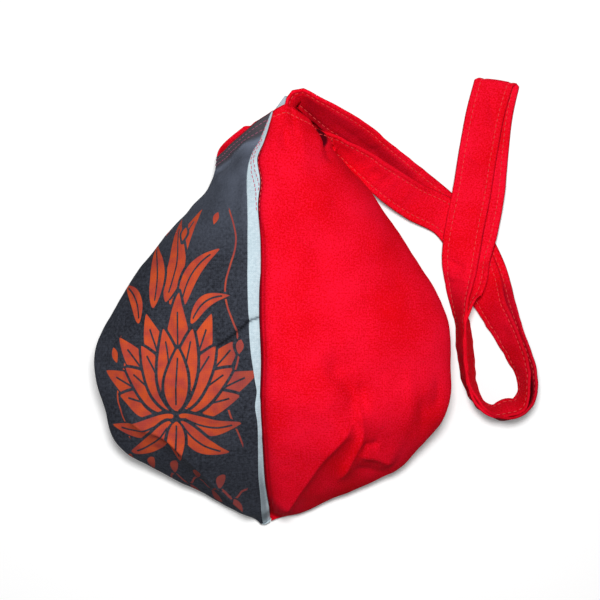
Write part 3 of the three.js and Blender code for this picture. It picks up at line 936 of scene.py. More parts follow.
@dataclass(frozen=True)
class Stitching:
    """A row of lockstitches: its pitch, the seen length of one stitch and the thread, in millimetres."""

    pitch: float = 3.6
    length: float = 2.7
    thread: float = 0.62  # the real 0.35 mm thread is drawn thicker so that it shows
    sides: int = 5

    # rings along one stitch, as (place, width, dip): its ends are thin and dip into the cloth
    RINGS = ((-0.5, 0.45, -0.8), (-0.34, 1.0, 0.0), (0.34, 1.0, 0.0), (0.5, 0.45, -0.8))

    def capsule(self) -> tuple[Array, list]:
        """Shapes one stitch that lies along X with its ends dipping.

        Returns:
            Its points, of shape (n, 3), and its faces.
        """
        radius, n = self.thread / 2, self.sides
        angles = [math.tau * k / n for k in range(n)]
        points = [
            (x * self.length, radius * w * math.cos(angle), radius * (w * math.sin(angle) + dip))
            for x, w, dip in self.RINGS for angle in angles
        ]
        last = len(self.RINGS) - 1
        faces = [
            (ring * n + k, ring * n + (k + 1) % n, (ring + 1) * n + (k + 1) % n, (ring + 1) * n + k)
            for ring in range(last) for k in range(n)
        ]
        faces += [tuple(reversed(range(n))), tuple(range(last * n, (last + 1) * n))]
        return np.array(points), [tuple(reversed(face)) for face in faces]

    def row(self, line: Array, up: Array) -> tuple[Array, Array, Array]:
        """Places stitches along a line.

        Args:
            line: points of the line in millimetres, of shape (n, 3).
            up: the cloth's outward direction at each point, of shape (n, 3).

        Returns:
            The middle, the direction and the outward direction of each stitch.
        """
        stations = lengths_along(line)
        count = max(int(stations[-1] / self.pitch), 1)
        at = (np.arange(count) + 0.5) * stations[-1] / count
        start, end = (read_line(line, stations, at + part * self.length) for part in (-0.5, 0.5))
        way = unit(end - start)
        outward = read_line(up, stations, at)
        outward = unit(outward - way * (outward * way).sum(axis=1, keepdims=True))
        return read_line(line, stations, at), way, outward

    def piece(self, name: str, rows: list) -> Piece:
        """Makes one object of all stitches in some rows.

        Args:
            name: the piece's name.
            rows: the line and the outward directions of each row.

        Returns:
            The piece.
        """
        shape, faces = self.capsule()
        parts = [self.row(line, up) for line, up in rows]
        middle, way, outward = (np.concatenate([part[k] for part in parts])[:, None] for k in range(3))
        x, y, z = (shape[None, :, k:k + 1] for k in range(3))
        points = middle + x * way + y * np.cross(outward, way) + z * outward
        size = len(shape)
        every = [tuple(size * n + k for k in face) for n in range(len(middle)) for face in faces]
        return new_object(name, new_mesh(name, points, every))


# The printed ornament


@dataclass(frozen=True)
class Leaf:
    """A printed petal or leaf on the flat cloth, from its base to its tip, in millimetres.

    The cloth's axes are to the left of the near seam, as negative x, and down it, as negative y.
    """

    base: tuple[float, float]
    tip: tuple[float, float]
    width: float
    bend: float = 0.0
    full: float = 0.75
    veined: bool = True

    def measure(self, cloth: Array) -> tuple[Array, Array, Array]:
        """Measures where points of the cloth lie in the leaf.

        Args:
            cloth: points in millimetres, of shape (n, 2).

        Returns:
            How far inside the leaf each point is, its signed distance from the vein, and its plain
            distance from it, which grows past the vein's ends. Each is of shape (n,).
        """
        base, tip = np.array(self.base, float), np.array(self.tip, float)
        length = float(np.linalg.norm(tip - base))
        way = (tip - base) / length
        away = cloth - base
        share = away @ way / length
        across = way[0] * away[:, 1] - way[1] * away[:, 0]
        inside = np.clip(share, 0, 1)
        across = across - self.bend * length * np.sin(math.pi * inside)
        half = self.width / 2 * np.sin(math.pi * inside**self.full) ** 0.85
        beyond = np.maximum(-share, share - 1).clip(0) * length
        fill = np.where(beyond > 0, -np.hypot(beyond, across), half - np.abs(across))
        stop = np.maximum(share - 0.82, 0.12 - share).clip(0) * length
        return fill, across, np.abs(across) + stop + (0 if self.veined else 50)


@dataclass
class Ornament:
    """A lotus with flame leaves above it and water leaves below: folk ornament, in one ink."""

    gap: float = 2.3  # how wide the bare line round each leaf is
    heart: tuple[float, float] = (-58, -196)

    FAR = 50.0  # stands for a distance at which nothing is drawn

    def petal(self, angle: float, length: float, width: float) -> Leaf:
        """Shapes a petal of the lotus.

        Args:
            angle: how far it leans from upright, in degrees.
            length: its length.
            width: its width.

        Returns:
            The petal.
        """
        turn = math.radians(angle)
        tip = (self.heart[0] + length * math.sin(turn), self.heart[1] + length * math.cos(turn))
        return Leaf(self.heart, tip, width)

    def leaves(self) -> list[Leaf]:
        """Lists all leaves.

        Returns:
            The leaves, the furthest back first.
        """
        flames = [
            Leaf((-64, -128), (-47, -64), 15, 0.10),
            Leaf((-68, -126), (-72, -70), 15, -0.12),
            Leaf((-56, -132), (-28, -92), 12, 0.16),
            Leaf((-78, -130), (-95, -88), 13, -0.16),
            Leaf((-48, -140), (-20, -122), 9, 0.18),
            Leaf((-88, -140), (-112, -116), 10, -0.18),
        ]
        back = [self.petal(angle, 70 - abs(angle) * 0.12, 21) for angle in (-66, 66, -44, 44, -22, 22)]
        front = [self.petal(angle, 52 - abs(angle) * 0.08, 19) for angle in (-78, 78, -55, 55, -33, 33)]
        middle = [self.petal(-12, 54, 18), self.petal(12, 54, 18), self.petal(0, 40, 17)]
        water = [
            Leaf((-60, -199), (-112, -206), 13, 0.12),
            Leaf((-56, -199), (-12, -204), 12, -0.12),
            Leaf((-62, -203), (-100, -226), 13, 0.12),
            Leaf((-56, -203), (-22, -224), 12, -0.12),
            Leaf((-58, -203), (-60, -232), 12, 0.0),
        ]
        border = []
        for x, side in zip(range(-104, -16, 9), (1, -1) * 5):
            run = self.border_run(x)
            border.append(Leaf((x, run + 3 * side), (x + 5, run + 12 * side), 6, 0.12 * side, 1.0, False))
        sparks = [Leaf(base, tip, width, 0.0, 1.2, False) for base, tip, width in (
            ((-34, -76), (-31, -67), 5), ((-60, -88), (-60, -78), 5.5), ((-84, -84), (-86, -75), 5),
            ((-15, -160), (-13, -150), 5), ((-104, -166), (-108, -156), 5.5),
        )]
        return [*flames, *back, self.petal(0, 76, 22), *front, *middle, *water, *border, *sparks]

    def border_run(self, x: float) -> float:
        """Returns how far down the border's middle lies."""
        return -238 - 0.17 * (x + 106)

    def vines(self) -> list[tuple]:
        """Lists the thin drawn lines: two tendrils beside the lotus and the wave of the border.

        Returns:
            The corners of each line.
        """
        right = tuple((-21 + 4 * math.sin(k * 0.8) + 0.25 * k, -66 - 9 * k) for k in range(18))
        left = tuple((-101 + 4 * math.sin(k * 1.0), -150 - 8 * k) for k in range(9))
        wave = tuple(
            (x, self.border_run(x) + 3.2 * math.cos((x + 104) * math.pi / 9)) for x in range(-110, -12, 3)
        )
        return [right, left, wave]

    def fields(self, places: Array) -> dict[str, Array]:
        """Reads the ornament at places of the flat cloth.

        Args:
            places: points in millimetres, of shape (rows, columns, 2).

        Returns:
            The attributes that the printed cloth's finish reads, each of shape (rows, columns).
        """
        cloth = places.reshape(-1, 2)
        fill = np.full(len(cloth), -20.0)
        vein, vein_near, line = (np.full(len(cloth), self.FAR) for _ in range(3))
        for leaf in self.leaves():
            inside, off_vein, near = leaf.measure(cloth)
            cleared = np.minimum(fill, np.maximum(-inside - self.gap, -0.9))
            fill = np.maximum(np.where(inside > -self.gap - 3, cleared, fill), inside)
            vein = np.where(inside > -0.4, off_vein, vein)
            vein_near = np.where(inside > -0.4, near, vein_near)
        for vine in self.vines():
            distance, side, _ = nearest_on_line(cloth, smooth_line(vine, 90))
            line = np.where(distance < np.abs(line), distance * side, line)
        # The ink lies thinner towards the border and towards the near seam
        below = ease((cloth[:, 1] + 246) / 26)
        beside = ease((-14 - cloth[:, 0]) / 22)
        fields = {
            "print_fill": fill, "print_vein": vein, "print_vein_near": vein_near, "print_line": line,
            "print_line_near": np.where(fill > -0.8, self.FAR, np.abs(line)),
            "print_tone": 0.12 + 0.88 * below * (0.3 + 0.7 * beside),
        }
        return {name: values.reshape(places.shape[:2]) for name, values in fields.items()}


# The pouch

# How wide the white near margin is down the seam, as (run, width)
NEAR_MARGIN = (
    (0, 1.2), (10, 3.4), (25, 5.2), (31, 5.6), (47, 9.2), (62, 6.9), (87, 8.2), (137, 7.6),
    (160, 6.9), (176, 4.4), (185, 2.8), (194, 3.6), (204, 2.6), (222, 3.3), (240, 4.2), (252, 4.6),
    (268, 5.4), (278, 6),
)
# The panels' soft unevenness, as (height, size)
CRUMPLES = ((1.1, 34), (0.5, 13), (0.16, 5))
# A facing's columns, round the cloth's edge and then 11 mm inwards: how far past the edge each lies,
# how much of the facing's roll comes to that, and how far into the bag
FACING_PROFILE = (
    (-0.6, 0.0, 0.35), (0.2, 0.6, 0.15), (0.2, 1.0, 0.75), (0.1, 0.6, 1.5), (-1.5, 0.0, 1.75),
    (-4, 0.0, 1.6), (-7.5, 0.0, 1.5), (-11, 0.0, 1.45),
)
# Lines across the white allowance at the mouth's corner, from inside the bag to its end
CORNER_LINES = (
    ((9.5, 158, 71), (12.5, 158, 72), (15.5, 158, 71), (19.0, 158, 69)),
    ((9.6, 166.5, 68), (12.6, 167.5, 68), (15.8, 168, 66.5), (19.2, 167.5, 64.5)),
    ((12.4, 171.5, 64), (14.4, 172.5, 63.5), (16.6, 173.2, 62.5), (18.9, 172.5, 60.5)),
    ((16.2, 177.4, 59), (16.9, 177.9, 59), (17.6, 177.9, 58.5), (18.4, 177.4, 57.5)),
)


@dataclass
class Pouch:
    """The two panels of the pouch with their margins, facings and stitches. Sizes in millimetres."""

    form: PouchForm
    looks: Finishes
    folded: dict[Side, Array] = field(default_factory=dict)  # points of either half, by row and column
    smooth: dict[Side, Array] = field(default_factory=dict)  # the same places on the smooth form
    rows: int = 240
    columns: int = 176
    margin_columns: int = 14
    far_columns: int = 3
    far_margin: float = 4.5
    slit: tuple[float, float] = (12.5, 67.0)  # the runs at which the finger slit begins and ends
    seam_depth: float = 2.0     # how deep the groove of the sewn seam is
    lip_depth: float = 0.7      # how deep it is along the slit
    groove_reach: float = 3.6
    pucker: float = 0.45        # how far the seam's puckers stand up, at every pucker_pitch
    pucker_pitch: float = 5.5
    swell: float = 0.7          # how far the cloth swells beside the groove, swell_place from the seam
    swell_place: float = 9.0
    underside_weight: float = 0.5  # how much coarser the columns are below than above
    tip_length: float = 2.6     # how far the tip is drawn out, from tip_reach before its end
    tip_reach: float = 16.0
    pinch_height: float = 5.0   # where the tip's end is pinched shut, from pinch_reach before it
    pinch_reach: float = 9.0
    ear_height: float = 3.9     # how far the red panel stands out at the mouth's corner
    roll: float = 1.9           # how far the front facing shows past the mouth's edge
    hem_rows: tuple[float, float] = (4.5, 10.5)  # the runs of the stitches round the mouth
    back_hem_row: float = 5.0

    @property
    def runs(self) -> Array:
        """The run down the near seam of each row."""
        return np.linspace(0, self.form.last_run, self.rows)

    def margin_width(self, run: Array) -> Array:
        """Returns how wide the white near margin is at each run."""
        pairs = np.array(NEAR_MARGIN, float)
        return smooth_run(pairs[:, 0], pairs[:, 1], run)

    def off_seam(self, plan: Array) -> tuple[Array, Array]:
        """Returns the run of each point of the plan and how far it lies from the near seam."""
        run = self.form.top - plan[:, 1]
        return run, np.abs(plan[:, 0] - self.form.along(SEAM_LINE, run))

    def lift(self, points: Array, share: Array, side: Side) -> Array:
        """Returns how far folds, puckers and the seam's groove move the cloth outwards.

        Args:
            points: places on the smooth form, of shape (n, 3).
            share: their turns, of shape (n,).
            side: which side of the ridge.

        Returns:
            The distances, of shape (n,).
        """
        plan = points[:, :2]
        total = sum(fold.lift(plan) for fold in (FRONT_FOLDS if side is Side.LEFT else BACK_FOLDS))
        seed = 3 if side is Side.LEFT else 7  # of the first of its random heights
        for k, (height, size) in enumerate(CRUMPLES):
            total += height * soft_noise(plan, size, seed + k)
        total *= 1 - ease((share - 0.46) / 0.16)  # the folds run out round the outline
        run, seam = self.off_seam(plan)
        sewn = ease((run - self.slit[1]) / 10)
        met = ease((run - self.slit[1]) / 20)
        depth = self.lip_depth + (self.seam_depth - self.lip_depth) * sewn
        on_top = 1 - ease((share - 0.3) / 0.1)
        if side is Side.RIGHT:
            # The red lip lies deeper than the white one and meets it below the slit
            depth = depth * (1.5 - 0.5 * met * (1 - ease(seam / 1.5)))
            total -= 1.8 * on_top * bell(seam - 1.9 * met, 1.5 - 0.3 * met)
        down = np.stack([run, np.zeros_like(run)], axis=1)
        depth = depth + self.pucker * soft_noise(down, self.pucker_pitch, 6)
        total -= on_top * depth * np.exp(-(seam / self.groove_reach) ** 1.3)
        return total + on_top * self.swell * bell(seam - self.swell_place, 4)

    def painted_shade(self, side: Side) -> Array:
        """Returns how much painted shade the cloth gets, from 0 where none is painted to 1 where it is
        darkest.

        Args:
            side: which side of the ridge.

        Returns:
            The shares, of shape (rows, columns).
        """
        points = self.smooth[side].reshape(-1, 3)
        plan = points[:, :2]
        run, seam = self.off_seam(plan)
        line = smooth_line(DIAGONAL_PLEAT if side is Side.LEFT else MOUTH_PLEAT, LINE_POINTS)
        distance, _, share = nearest_on_line(plan, line)
        if side is Side.LEFT:
            # Painted shade: a dark line along the charcoal's diagonal crease, and shade over the white
            # margin's lower end
            pressed = (1 - ease((distance - 0.35) / 0.8)) * ease((1 - share) / 0.15)
            in_margin = ease((seam - 1.0) / 1.5) * (seam < self.margin_width(run) - 0.3)
            shade_paint = np.maximum(pressed, 0.5 * ease((run - 222) / 30) * in_margin)
        else:
            # Painted shade: a dark wedge in the mouth's notch, and the groove's shade beside the near seam
            wide = 0.3 + 1.5 * np.sin(math.pi * np.clip(share, 0, 1) ** 1.6)
            pressed = (1 - ease((distance - wide) / 0.9)) * ease((1 - share) / 0.1)
            groove = (0.74 * bell(seam, 1.7) + 0.2 * bell(seam, 7)) * ease((run - 4) / 10)
            shade_paint = np.maximum(pressed * (run > -4), groove) * (points[:, 2] > 12)
        return shade_paint.reshape(self.smooth[side].shape[:2])

    def turns(self, side: Side) -> Array:
        """Spreads the columns over the near margin, the panel and the far margin.

        Args:
            side: which side of the ridge.

        Returns:
            Each column's turn, of shape (rows, columns).
        """
        dense = np.linspace(0, 1, 400)
        run = np.repeat(self.runs[:, None], len(dense), axis=1)
        points = self.form.point(run.ravel(), np.tile(dense, self.rows), side).reshape(self.rows, -1, 3)
        weight = np.where(dense[1:] < 0.52, 1.0, self.underside_weight)
        steps = np.linalg.norm(np.diff(points, axis=1), axis=2) * weight
        length = np.concatenate([np.zeros((self.rows, 1)), np.cumsum(steps, axis=1)], axis=1)
        end = length[:, -1:]
        stop = end - self.far_margin * self.underside_weight
        near = np.minimum(self.margin_width(self.runs)[:, None], 0.6 * stop)
        places = np.concatenate([
            near * np.linspace(0, 1, self.margin_columns),
            near + (stop - near) * np.linspace(0, 1, self.columns)[1:],
            stop + (end - stop) * np.linspace(0, 1, self.far_columns + 1)[1:],
        ], axis=1)
        return np.stack([np.interp(places[k], length[k], dense) for k in range(self.rows)])

    def half_grid(self, side: Side) -> tuple[Array, Array]:
        """Returns one side of the pouch, from the near seam to the far seam.

        Args:
            side: which side of the ridge.

        Returns:
            The folded points and those of the smooth form, in millimetres, by row and column. The
            first columns are the near margin and the last three the far margin.
        """
        share = self.turns(side)
        run = np.repeat(self.runs[:, None], share.shape[1], axis=1)
        flat = self.form.point(run.ravel(), share.ravel(), side)
        lift = self.lift(flat, share.ravel(), side).reshape(share.shape)
        smooth = flat.reshape(*share.shape, 3)
        points = smooth + grid_normals(smooth) * side.value * lift[..., None]
        x, y, z = (points[..., k] for k in range(3))
        left_over = self.form.last_run - run
        y -= self.tip_length * ease((self.tip_reach - left_over) / 14) * bell(x - 1.5, 4.0)
        z += (self.pinch_height - z) * 0.93 * ease(1 - left_over / self.pinch_reach)
        if side is Side.RIGHT:
            y += self.ear_height * bell(x - 18.5, 6.5) * (1 - ease(run / 16)) * (share < 0.5)
        np.maximum(z, 0.0, out=z)
        return points, smooth

    def build(self) -> None:
        """Makes every piece of the pouch."""
        for side in Side:
            self.folded[side], self.smooth[side] = self.half_grid(side)
        self.panels()
        self.mouth()
        self.slit_lips()
        self.corner()
        self.stitches()

    def panels(self) -> None:
        """Makes the two panels and the white margins along their seams."""
        left, right = self.folded.values()
        left_flat, right_flat = (cloth_coordinates(smooth) for smooth in self.smooth.values())
        left_painted_shade, right_painted_shade = ({"painted_shade": self.painted_shade(side)} for side in Side)
        red, charcoal, white = self.looks.red, self.looks.charcoal, self.looks.white
        on_front = ("front_panel_cloth",)
        down = np.repeat(-self.runs[:, None], left.shape[1], axis=1)
        printed = Ornament().fields(np.stack([-left_flat[..., 0], down], axis=-1))
        seam, far = self.margin_columns - 1, -self.far_columns
        both = np.concatenate([right[:, far:], left[:, :far - 1:-1][:, 1:]], axis=1)
        for cut, points, flat, side, columns, fields in (
            (Cut("front_panel_cloth", charcoal, "charcoal_cloth", ("front_panel",), "laid"),
             left, left_flat, Side.LEFT, slice(seam, far), printed | left_painted_shade),
            (Cut("back_panel_cloth", red, "red_cloth", ("back_panel",), "laid"),
             right, right_flat, Side.RIGHT, slice(far), right_painted_shade),
            (Cut("near_margin_cloth", white, "white_cloth", ("near_seam_margin",), "laid", on_front),
             left, left_flat, Side.LEFT, slice(seam + 1), left_painted_shade),
            (Cut("far_margin_cloth", white, "white_cloth", ("far_seam_margin",), "laid", on_front),
             both, cloth_coordinates(both), Side.RIGHT, slice(None), {}),
        ):
            kept = {key: values[:, columns] for key, values in fields.items()}
            cut.make(points[:, columns], flat[:, columns], np.s_[:, ::side.value], kept)

    def mouth(self) -> None:
        """Makes the red facings inside the mouth's edge; the front one shows as a roll."""
        left, right = self.folded.values()
        for half, grid, side in (
            ("front", left[:, 3:-2], Side.LEFT), ("back", right[:, 2:-2], Side.RIGHT),
        ):
            inward = -grid_normals(grid[:4])[0] * side.value
            beyond = unit(grid[0] - grid[3])
            share = np.linspace(0, 1, grid.shape[1])
            roll = np.full(len(share), 0.25)
            if side is Side.LEFT:
                roll += self.roll * ease((share - 0.14) / 0.10) * (1 - ease((share - 0.44) / 0.08))
            points = np.stack([
                grid[0] + beyond * (out + part * roll)[:, None] + inward * deep
                for out, part, deep in FACING_PROFILE
            ], axis=1)
            flat = cloth_coordinates(points.transpose(1, 0, 2)).transpose(1, 0, 2)[..., ::-1]
            Cut(
                f"mouth_facing_{half}_cloth", self.looks.red, "red_cloth", (f"mouth_facing_{half}",),
                rests_on=(f"{half}_panel_cloth",), wall=0.5, offset=0, rounded=True,
            ).make(points, flat, np.s_[::-side.value])

    def slit_lips(self) -> None:
        """Makes the hems turned in along the finger slit."""
        left, right = self.folded.values()
        rows = (self.runs > self.slit[0] - 2) & (self.runs < self.slit[1])
        for half, grid, side, columns, finish, slot in (
            ("front", left[rows], Side.LEFT, self.margin_columns + 2, self.looks.white, "white_cloth"),
            ("back", right[rows], Side.RIGHT, 9, self.looks.red, "red_cloth"),
        ):
            normals = grid_normals(grid[:, :24]) * side.value
            band = grid[:, 1:columns] - normals[:, 1:columns] * (CLOTH + 0.55)
            Cut(
                f"slit_hem_{half}_cloth", finish, slot, (f"slit_facing_{half}",), wall=0.6, offset=0,
            ).make(band, cloth_coordinates(band), np.s_[:, ::side.value])

    def corner(self) -> None:
        """Makes the white end of the seam allowance that stands out of the mouth's corner."""
        across = [smooth_line(line, 12) for line in CORNER_LINES]
        grid = np.stack([smooth_line([line[k] for line in across], 20) for k in range(12)], axis=1)
        cut = Cut("corner_allowance_cloth", self.looks.white, "white_cloth", wall=0.7)
        cut.make(grid, cloth_coordinates(grid), np.s_[::-1])

    def stitches(self) -> None:
        """Makes the rows of stitches round the mouth and along the slit."""
        left, right = self.folded.values()
        left_up = grid_normals(left) * Side.LEFT.value
        right_up = grid_normals(right) * Side.RIGHT.value
        row_at = lambda run: round(run * (self.rows - 1) / self.form.last_run)
        over = slice(self.margin_columns + 1, -4)
        hem = [thread_line(left, left_up, row_at(run), over) for run in self.hem_rows]
        back_hem = [thread_line(right, right_up, row_at(self.back_hem_row), slice(6, -4))]
        along = np.where((self.runs > self.slit[0] - 9) & (self.runs < self.slit[1] + 1))[0]
        share = (self.runs[along] - self.slit[0]) / (self.slit[1] - self.slit[0])
        columns = np.round((self.margin_columns - 2) * (0.95 - 0.85 * ease(share - 0.1))).astype(int)
        half = slice(len(along) // 5, len(along) * 4 // 5)
        slit = [
            thread_line(left, left_up, along, columns),
            thread_line(left, left_up, along[half], np.maximum(columns[half] - 4, 1)),
        ]
        lip = [thread_line(right, right_up, along[8:], 2)]
        for name, thread, stitching, lines in (
            ("mouth_hem_stitches", self.looks.mouth_thread, Stitching(), hem),
            ("mouth_back_stitches", self.looks.red_thread, Stitching(), back_hem),
            ("slit_stitches", self.looks.slit_thread, Stitching(3.2, 2.4, 0.55), slit),
            ("slit_back_stitches", self.looks.red_thread, Stitching(3.4, 2.2, 0.5), lip),
        ):
            dress(stitching.piece(name, lines), thread)


# The strap

# Routes of the strap's two layers, as (x, y, lift, tilt in degrees). The outer layer leaves the
# mouth highest, runs round the outside of the loop and comes up the band on top; the inner layer
# goes beneath it.
OUTER_ROUTE = (
    (21.6, 157, 33.0, 88), (22.0, 166, 36.2, 84), (22.8, 172.8, 41.0, 76), (26.6, 176.6, 43.6, 69),
    (30.2, 175.1, 43.2, 67), (33.5, 172.9, 42.2, 64), (49.6, 162.8, 36.5, 54),
    (66.5, 152.4, 25.6, 48), (81, 140.5, 17.2, 38), (102, 123.5, 8.6, 23), (129, 102, 0, 3),
    (145.5, 85.5, 0, 0), (155.5, 66.5, 0, 3), (164.8, 36.5, 0, 28), (174, 14, 0, 50),
    (180.5, 0, 0, 62), (186, -14, 0, 78), (187, -25, 0, 88), (180.5, -35.5, 0, 92),
    (170, -39.8, 0, 95), (158.5, -37, 0, 95), (148.5, -28.5, 0, 94), (141.5, -15.5, 0, 94),
    (138.3, 7.5, 0, 95), (137.5, 31, 0, 103), (136.6, 51, 0, 126), (137.4, 68.5, 5.2, 155),
    (140.2, 89, 8.6, 174), (145, 113, 10, 180), (151, 146.5, 4, 180), (156.5, 174.5, 2.6, 180),
    (162, 193.5, 2.6, 180),
)
INNER_ROUTE = (
    (14, 150, 26, 60), (17, 161.5, 21, 45), (24, 166.5, 15, 38), (33, 161, 12, 54),
    (42, 151.5, 13.5, 72), (52, 146, 17.4, 67.5), (61, 140.6, 17.4, 60), (72, 132.9, 15.4, 48),
    (85.6, 122.9, 12.6, 34), (105, 110.7, 7, 20), (130, 98, 2.6, 3), (142, 82, 2.6, 0),
    (149.5, 66.5, 2.6, 3), (159.6, 37, 1.5, 45), (170.6, 15, 1, 59), (177.4, 1, 0.4, 67),
    (181.5, -12, 0, 76), (181.3, -22, 0, 80), (177.3, -30.6, 0, 72), (169.6, -32.2, 0, 70),
    (163, -34.6, 0, 76), (156.0, -33.0, 0, 77), (149.8, -26.6, 0, 76), (145.6, -15.5, 0, 73),
    (144.3, -4, 0, 72), (143.4, 10, 0, 73), (141.6, 31, 0, 86), (142, 45, 0.5, 126),
    (144.6, 54, 2, 138), (145, 68.5, 5, 166), (150.5, 89, 6, 178), (155, 113, 7.2, 180),
    (159, 146.5, 1.2, 180), (162.5, 175, 0, 180), (166.5, 193, 0, 180),
)
BAND_FOLDS = (
    Crease(((159.0, 190), (160.4, 174.4), (162.0, 158.4)), -1.9, 2.6, 1.3, 0.3, 0.25),
    Crease(((150.5, 189), (163, 188), (178, 187.5)), 1.2, 2.5, 2.0, 0.5, 0.2),
    Crease(((143, 143.8), (148, 140), (153.5, 135.4)), -1.5, 2, 2, 0.3, 0.3),
    Crease(((147, 168), (152, 166), (158, 166)), 1.0, 3, 3, 0.6, 0.3),
    Crease(((135, 112), (141, 106), (150, 104)), -1.4, 2, 2, 0.4, 0.3),
    Crease(((130, 70), (135, 66), (141, 64.5)), -2.4, 1.8, 2.4, 0.3, 0.2),
    Crease(((127, 62), (136, 56), (144, 54)), 1.4, 3, 3, 0.6, 0.3),
    Crease(((100, 118), (107, 110), (112, 104)), -1.2, 2, 2, 0.4, 0.3),
    Crease(((74, 147), (92, 131), (112, 116)), -1.3, 1.8, 1.8, 0.4, 0.2),
    Crease(((46, 164), (66, 151), (84, 137)), -1.3, 1.8, 1.8, 0.4, 0.2),
)


@dataclass
class Strap:
    """One long ribbon of doubled red cloth, topstitched along both edges, in millimetres."""

    looks: Finishes
    width: float = 27.0
    thickness: float = 1.9
    stitch_inset: float = 4.2
    spacing: float = 1.7
    fold_steps: int = 9
    face_points: int = 19

    # the ends of the strap's hinge line at the mouth, in metres
    BEND = ((0.055, 0.134, 0.03), (0.098, 0.134, 0.03))
    UNDER_MAP = 40  # how far beside the top's cloth the underside's lies on the cloth map

    def layer(self, route: tuple) -> tuple[Array, Array]:
        """Lays one layer of the ribbon along its route.

        Args:
            route: points (x, y, lift, tilt).

        Returns:
            The middle and the direction across at each ring.
        """
        points = np.array(route, float)
        stations = lengths_along(points[:, :2])
        at = np.linspace(0, stations[-1], round(stations[-1] / self.spacing))
        read = smooth_run(stations, points, at)
        tilt = np.radians(read[:, 3])
        up = np.array([0.0, 0.0, 1.0])
        height = self.width / 2 * np.abs(np.sin(tilt)) + self.thickness / 2 * np.abs(np.cos(tilt)) + 0.3
        middle = np.column_stack([read[:, :2], height + read[:, 2]])
        along = np.gradient(middle, axis=0)
        level = np.cross(up, unit(along * (1, 1, 0)))
        across = np.cos(tilt)[:, None] * level + np.sin(tilt)[:, None] * up
        return middle, unit(across - unit(along) * (across * unit(along)).sum(axis=1, keepdims=True))

    def ribbon(self) -> tuple[Array, Array, Array, int]:
        """Joins both layers by the fold at the band's top.

        Returns:
            The middle, the direction across and the face's direction at each ring, and the ring at
            the fold.
        """
        outer, outer_across = self.layer(OUTER_ROUTE)
        inner, inner_across = (values[::-1] for values in self.layer(INNER_ROUTE))
        if outer_across[-1] @ inner_across[0] < 0:
            inner_across = -inner_across
        upper, lower = outer[-1], inner[0]
        outward = unit((upper - outer[-4]) * (1, 1, 0))
        turns = np.linspace(0, math.pi, self.fold_steps + 2)[1:-1, None]
        depth = 0.5 * abs(upper[2] - lower[2]) + 0.9
        turned = (upper + lower) / 2 + (upper - lower) / 2 * np.cos(turns)
        turned = turned + outward * depth * np.sin(turns)
        mix = ease(turns / math.pi)
        turned_across = unit(outer_across[-1] * (1 - mix) + inner_across[0] * mix)
        middle = np.concatenate([outer, turned, inner])
        across = np.concatenate([outer_across, turned_across, inner_across])
        face = unit(np.cross(unit(np.gradient(middle, axis=0)), across))
        return middle, across, face, len(outer) + self.fold_steps // 2

    def half_thickness(self, off: Array) -> Array:
        """Works out half the ribbon's thickness: it is thin at the stitches.

        Args:
            off: distances from the ribbon's middle.

        Returns:
            The thicknesses, of the same shape.
        """
        edge, half = self.width / 2, self.thickness / 2
        round_ = np.sqrt(np.clip(1 - ((np.abs(off) - (edge - half)).clip(0) / half) ** 2, 0, 1))
        return half * round_ * (1 - 0.7 * bell(np.abs(off) - (edge - self.stitch_inset), 0.9))

    def painted_layer_shade(self, stations: Array, off: Array, centre: Array) -> Array:
        """Returns the painted shade where one layer lies close behind the other.

        Args:
            stations: distance along the ribbon at each ring, of shape (n,).
            off: distances from the ribbon's middle, of shape (k,).
            centre: places in millimetres, of shape (n, k, 3).

        Returns:
            The shares of painted shade, from 0 in the open to 1 where no light comes, of shape (n, k).
        """
        # Painted shade beside the mouth, on the outer layer's lower edge, and in the loop's right limb
        outer = 1 - ease((stations[:, None] - stations[-1] / 2 + 20) / 10)
        x, y = centre[..., 0], centre[..., 1]
        beside_mouth = ease((x - 26) / 8) * (1 - ease((x - 96) / 24)) * (y > 95)
        to_loop = outer * beside_mouth * (1 - ease((off - 6.5) / 3))
        limb = ease((x - 150) / 10) * ease((64 - y) / 18)
        gap = outer * limb * (0.38 + 0.4 * (1 - ease((off - 6) / 4)))
        return np.maximum(np.maximum(0.42 * to_loop, gap), 0.16 * limb)

    def creased(self, ribbon: tuple, stations: Array, off: Array) -> Array:
        """Returns the ribbon's middle sheet with its small waves and folds.

        Args:
            ribbon: what the method ribbon returns.
            stations: distance along the ribbon at each ring, of shape (n,).
            off: distances from the ribbon's middle, of shape (k,).

        Returns:
            The places in millimetres, of shape (n, k, 3).
        """
        middle, across, face, fold = ribbon
        s, t = np.meshgrid(stations, off, indexing="ij")
        where = np.stack([s.ravel(), t.ravel()], axis=1)
        wave = 0.5 * soft_noise(where, 9, 21) + 0.42 * soft_noise(where * (1, 0.35), 4.5, 22)
        wave += 0.8 * soft_noise(where, 30, 23)
        centre = middle[:, None] + across[:, None] * t[..., None]
        # The fold at the band's top lies a little lower and aslant
        slant = (t * 1.3 / self.width * 2 - 1.0) * bell(stations - stations[fold], 14)[:, None]
        centre += unit(middle[fold] - middle[fold - 12]) * slant[..., None]
        plan = centre.reshape(-1, 3)[:, :2]
        on_top = (plan[:, 1] > 55) & (s.ravel() < stations[-1] / 2)
        folds = sum(crease.lift(plan) for crease in BAND_FOLDS) * on_top
        upward = np.where(face[:, 2] >= 0, 1.0, -1.0)[:, None]
        shift = wave.reshape(s.shape) + folds.reshape(s.shape) * upward
        centre = centre + face[:, None] * shift[..., None]
        centre[..., 2] = np.maximum(centre[..., 2], self.thickness / 2 + 0.05)
        return centre

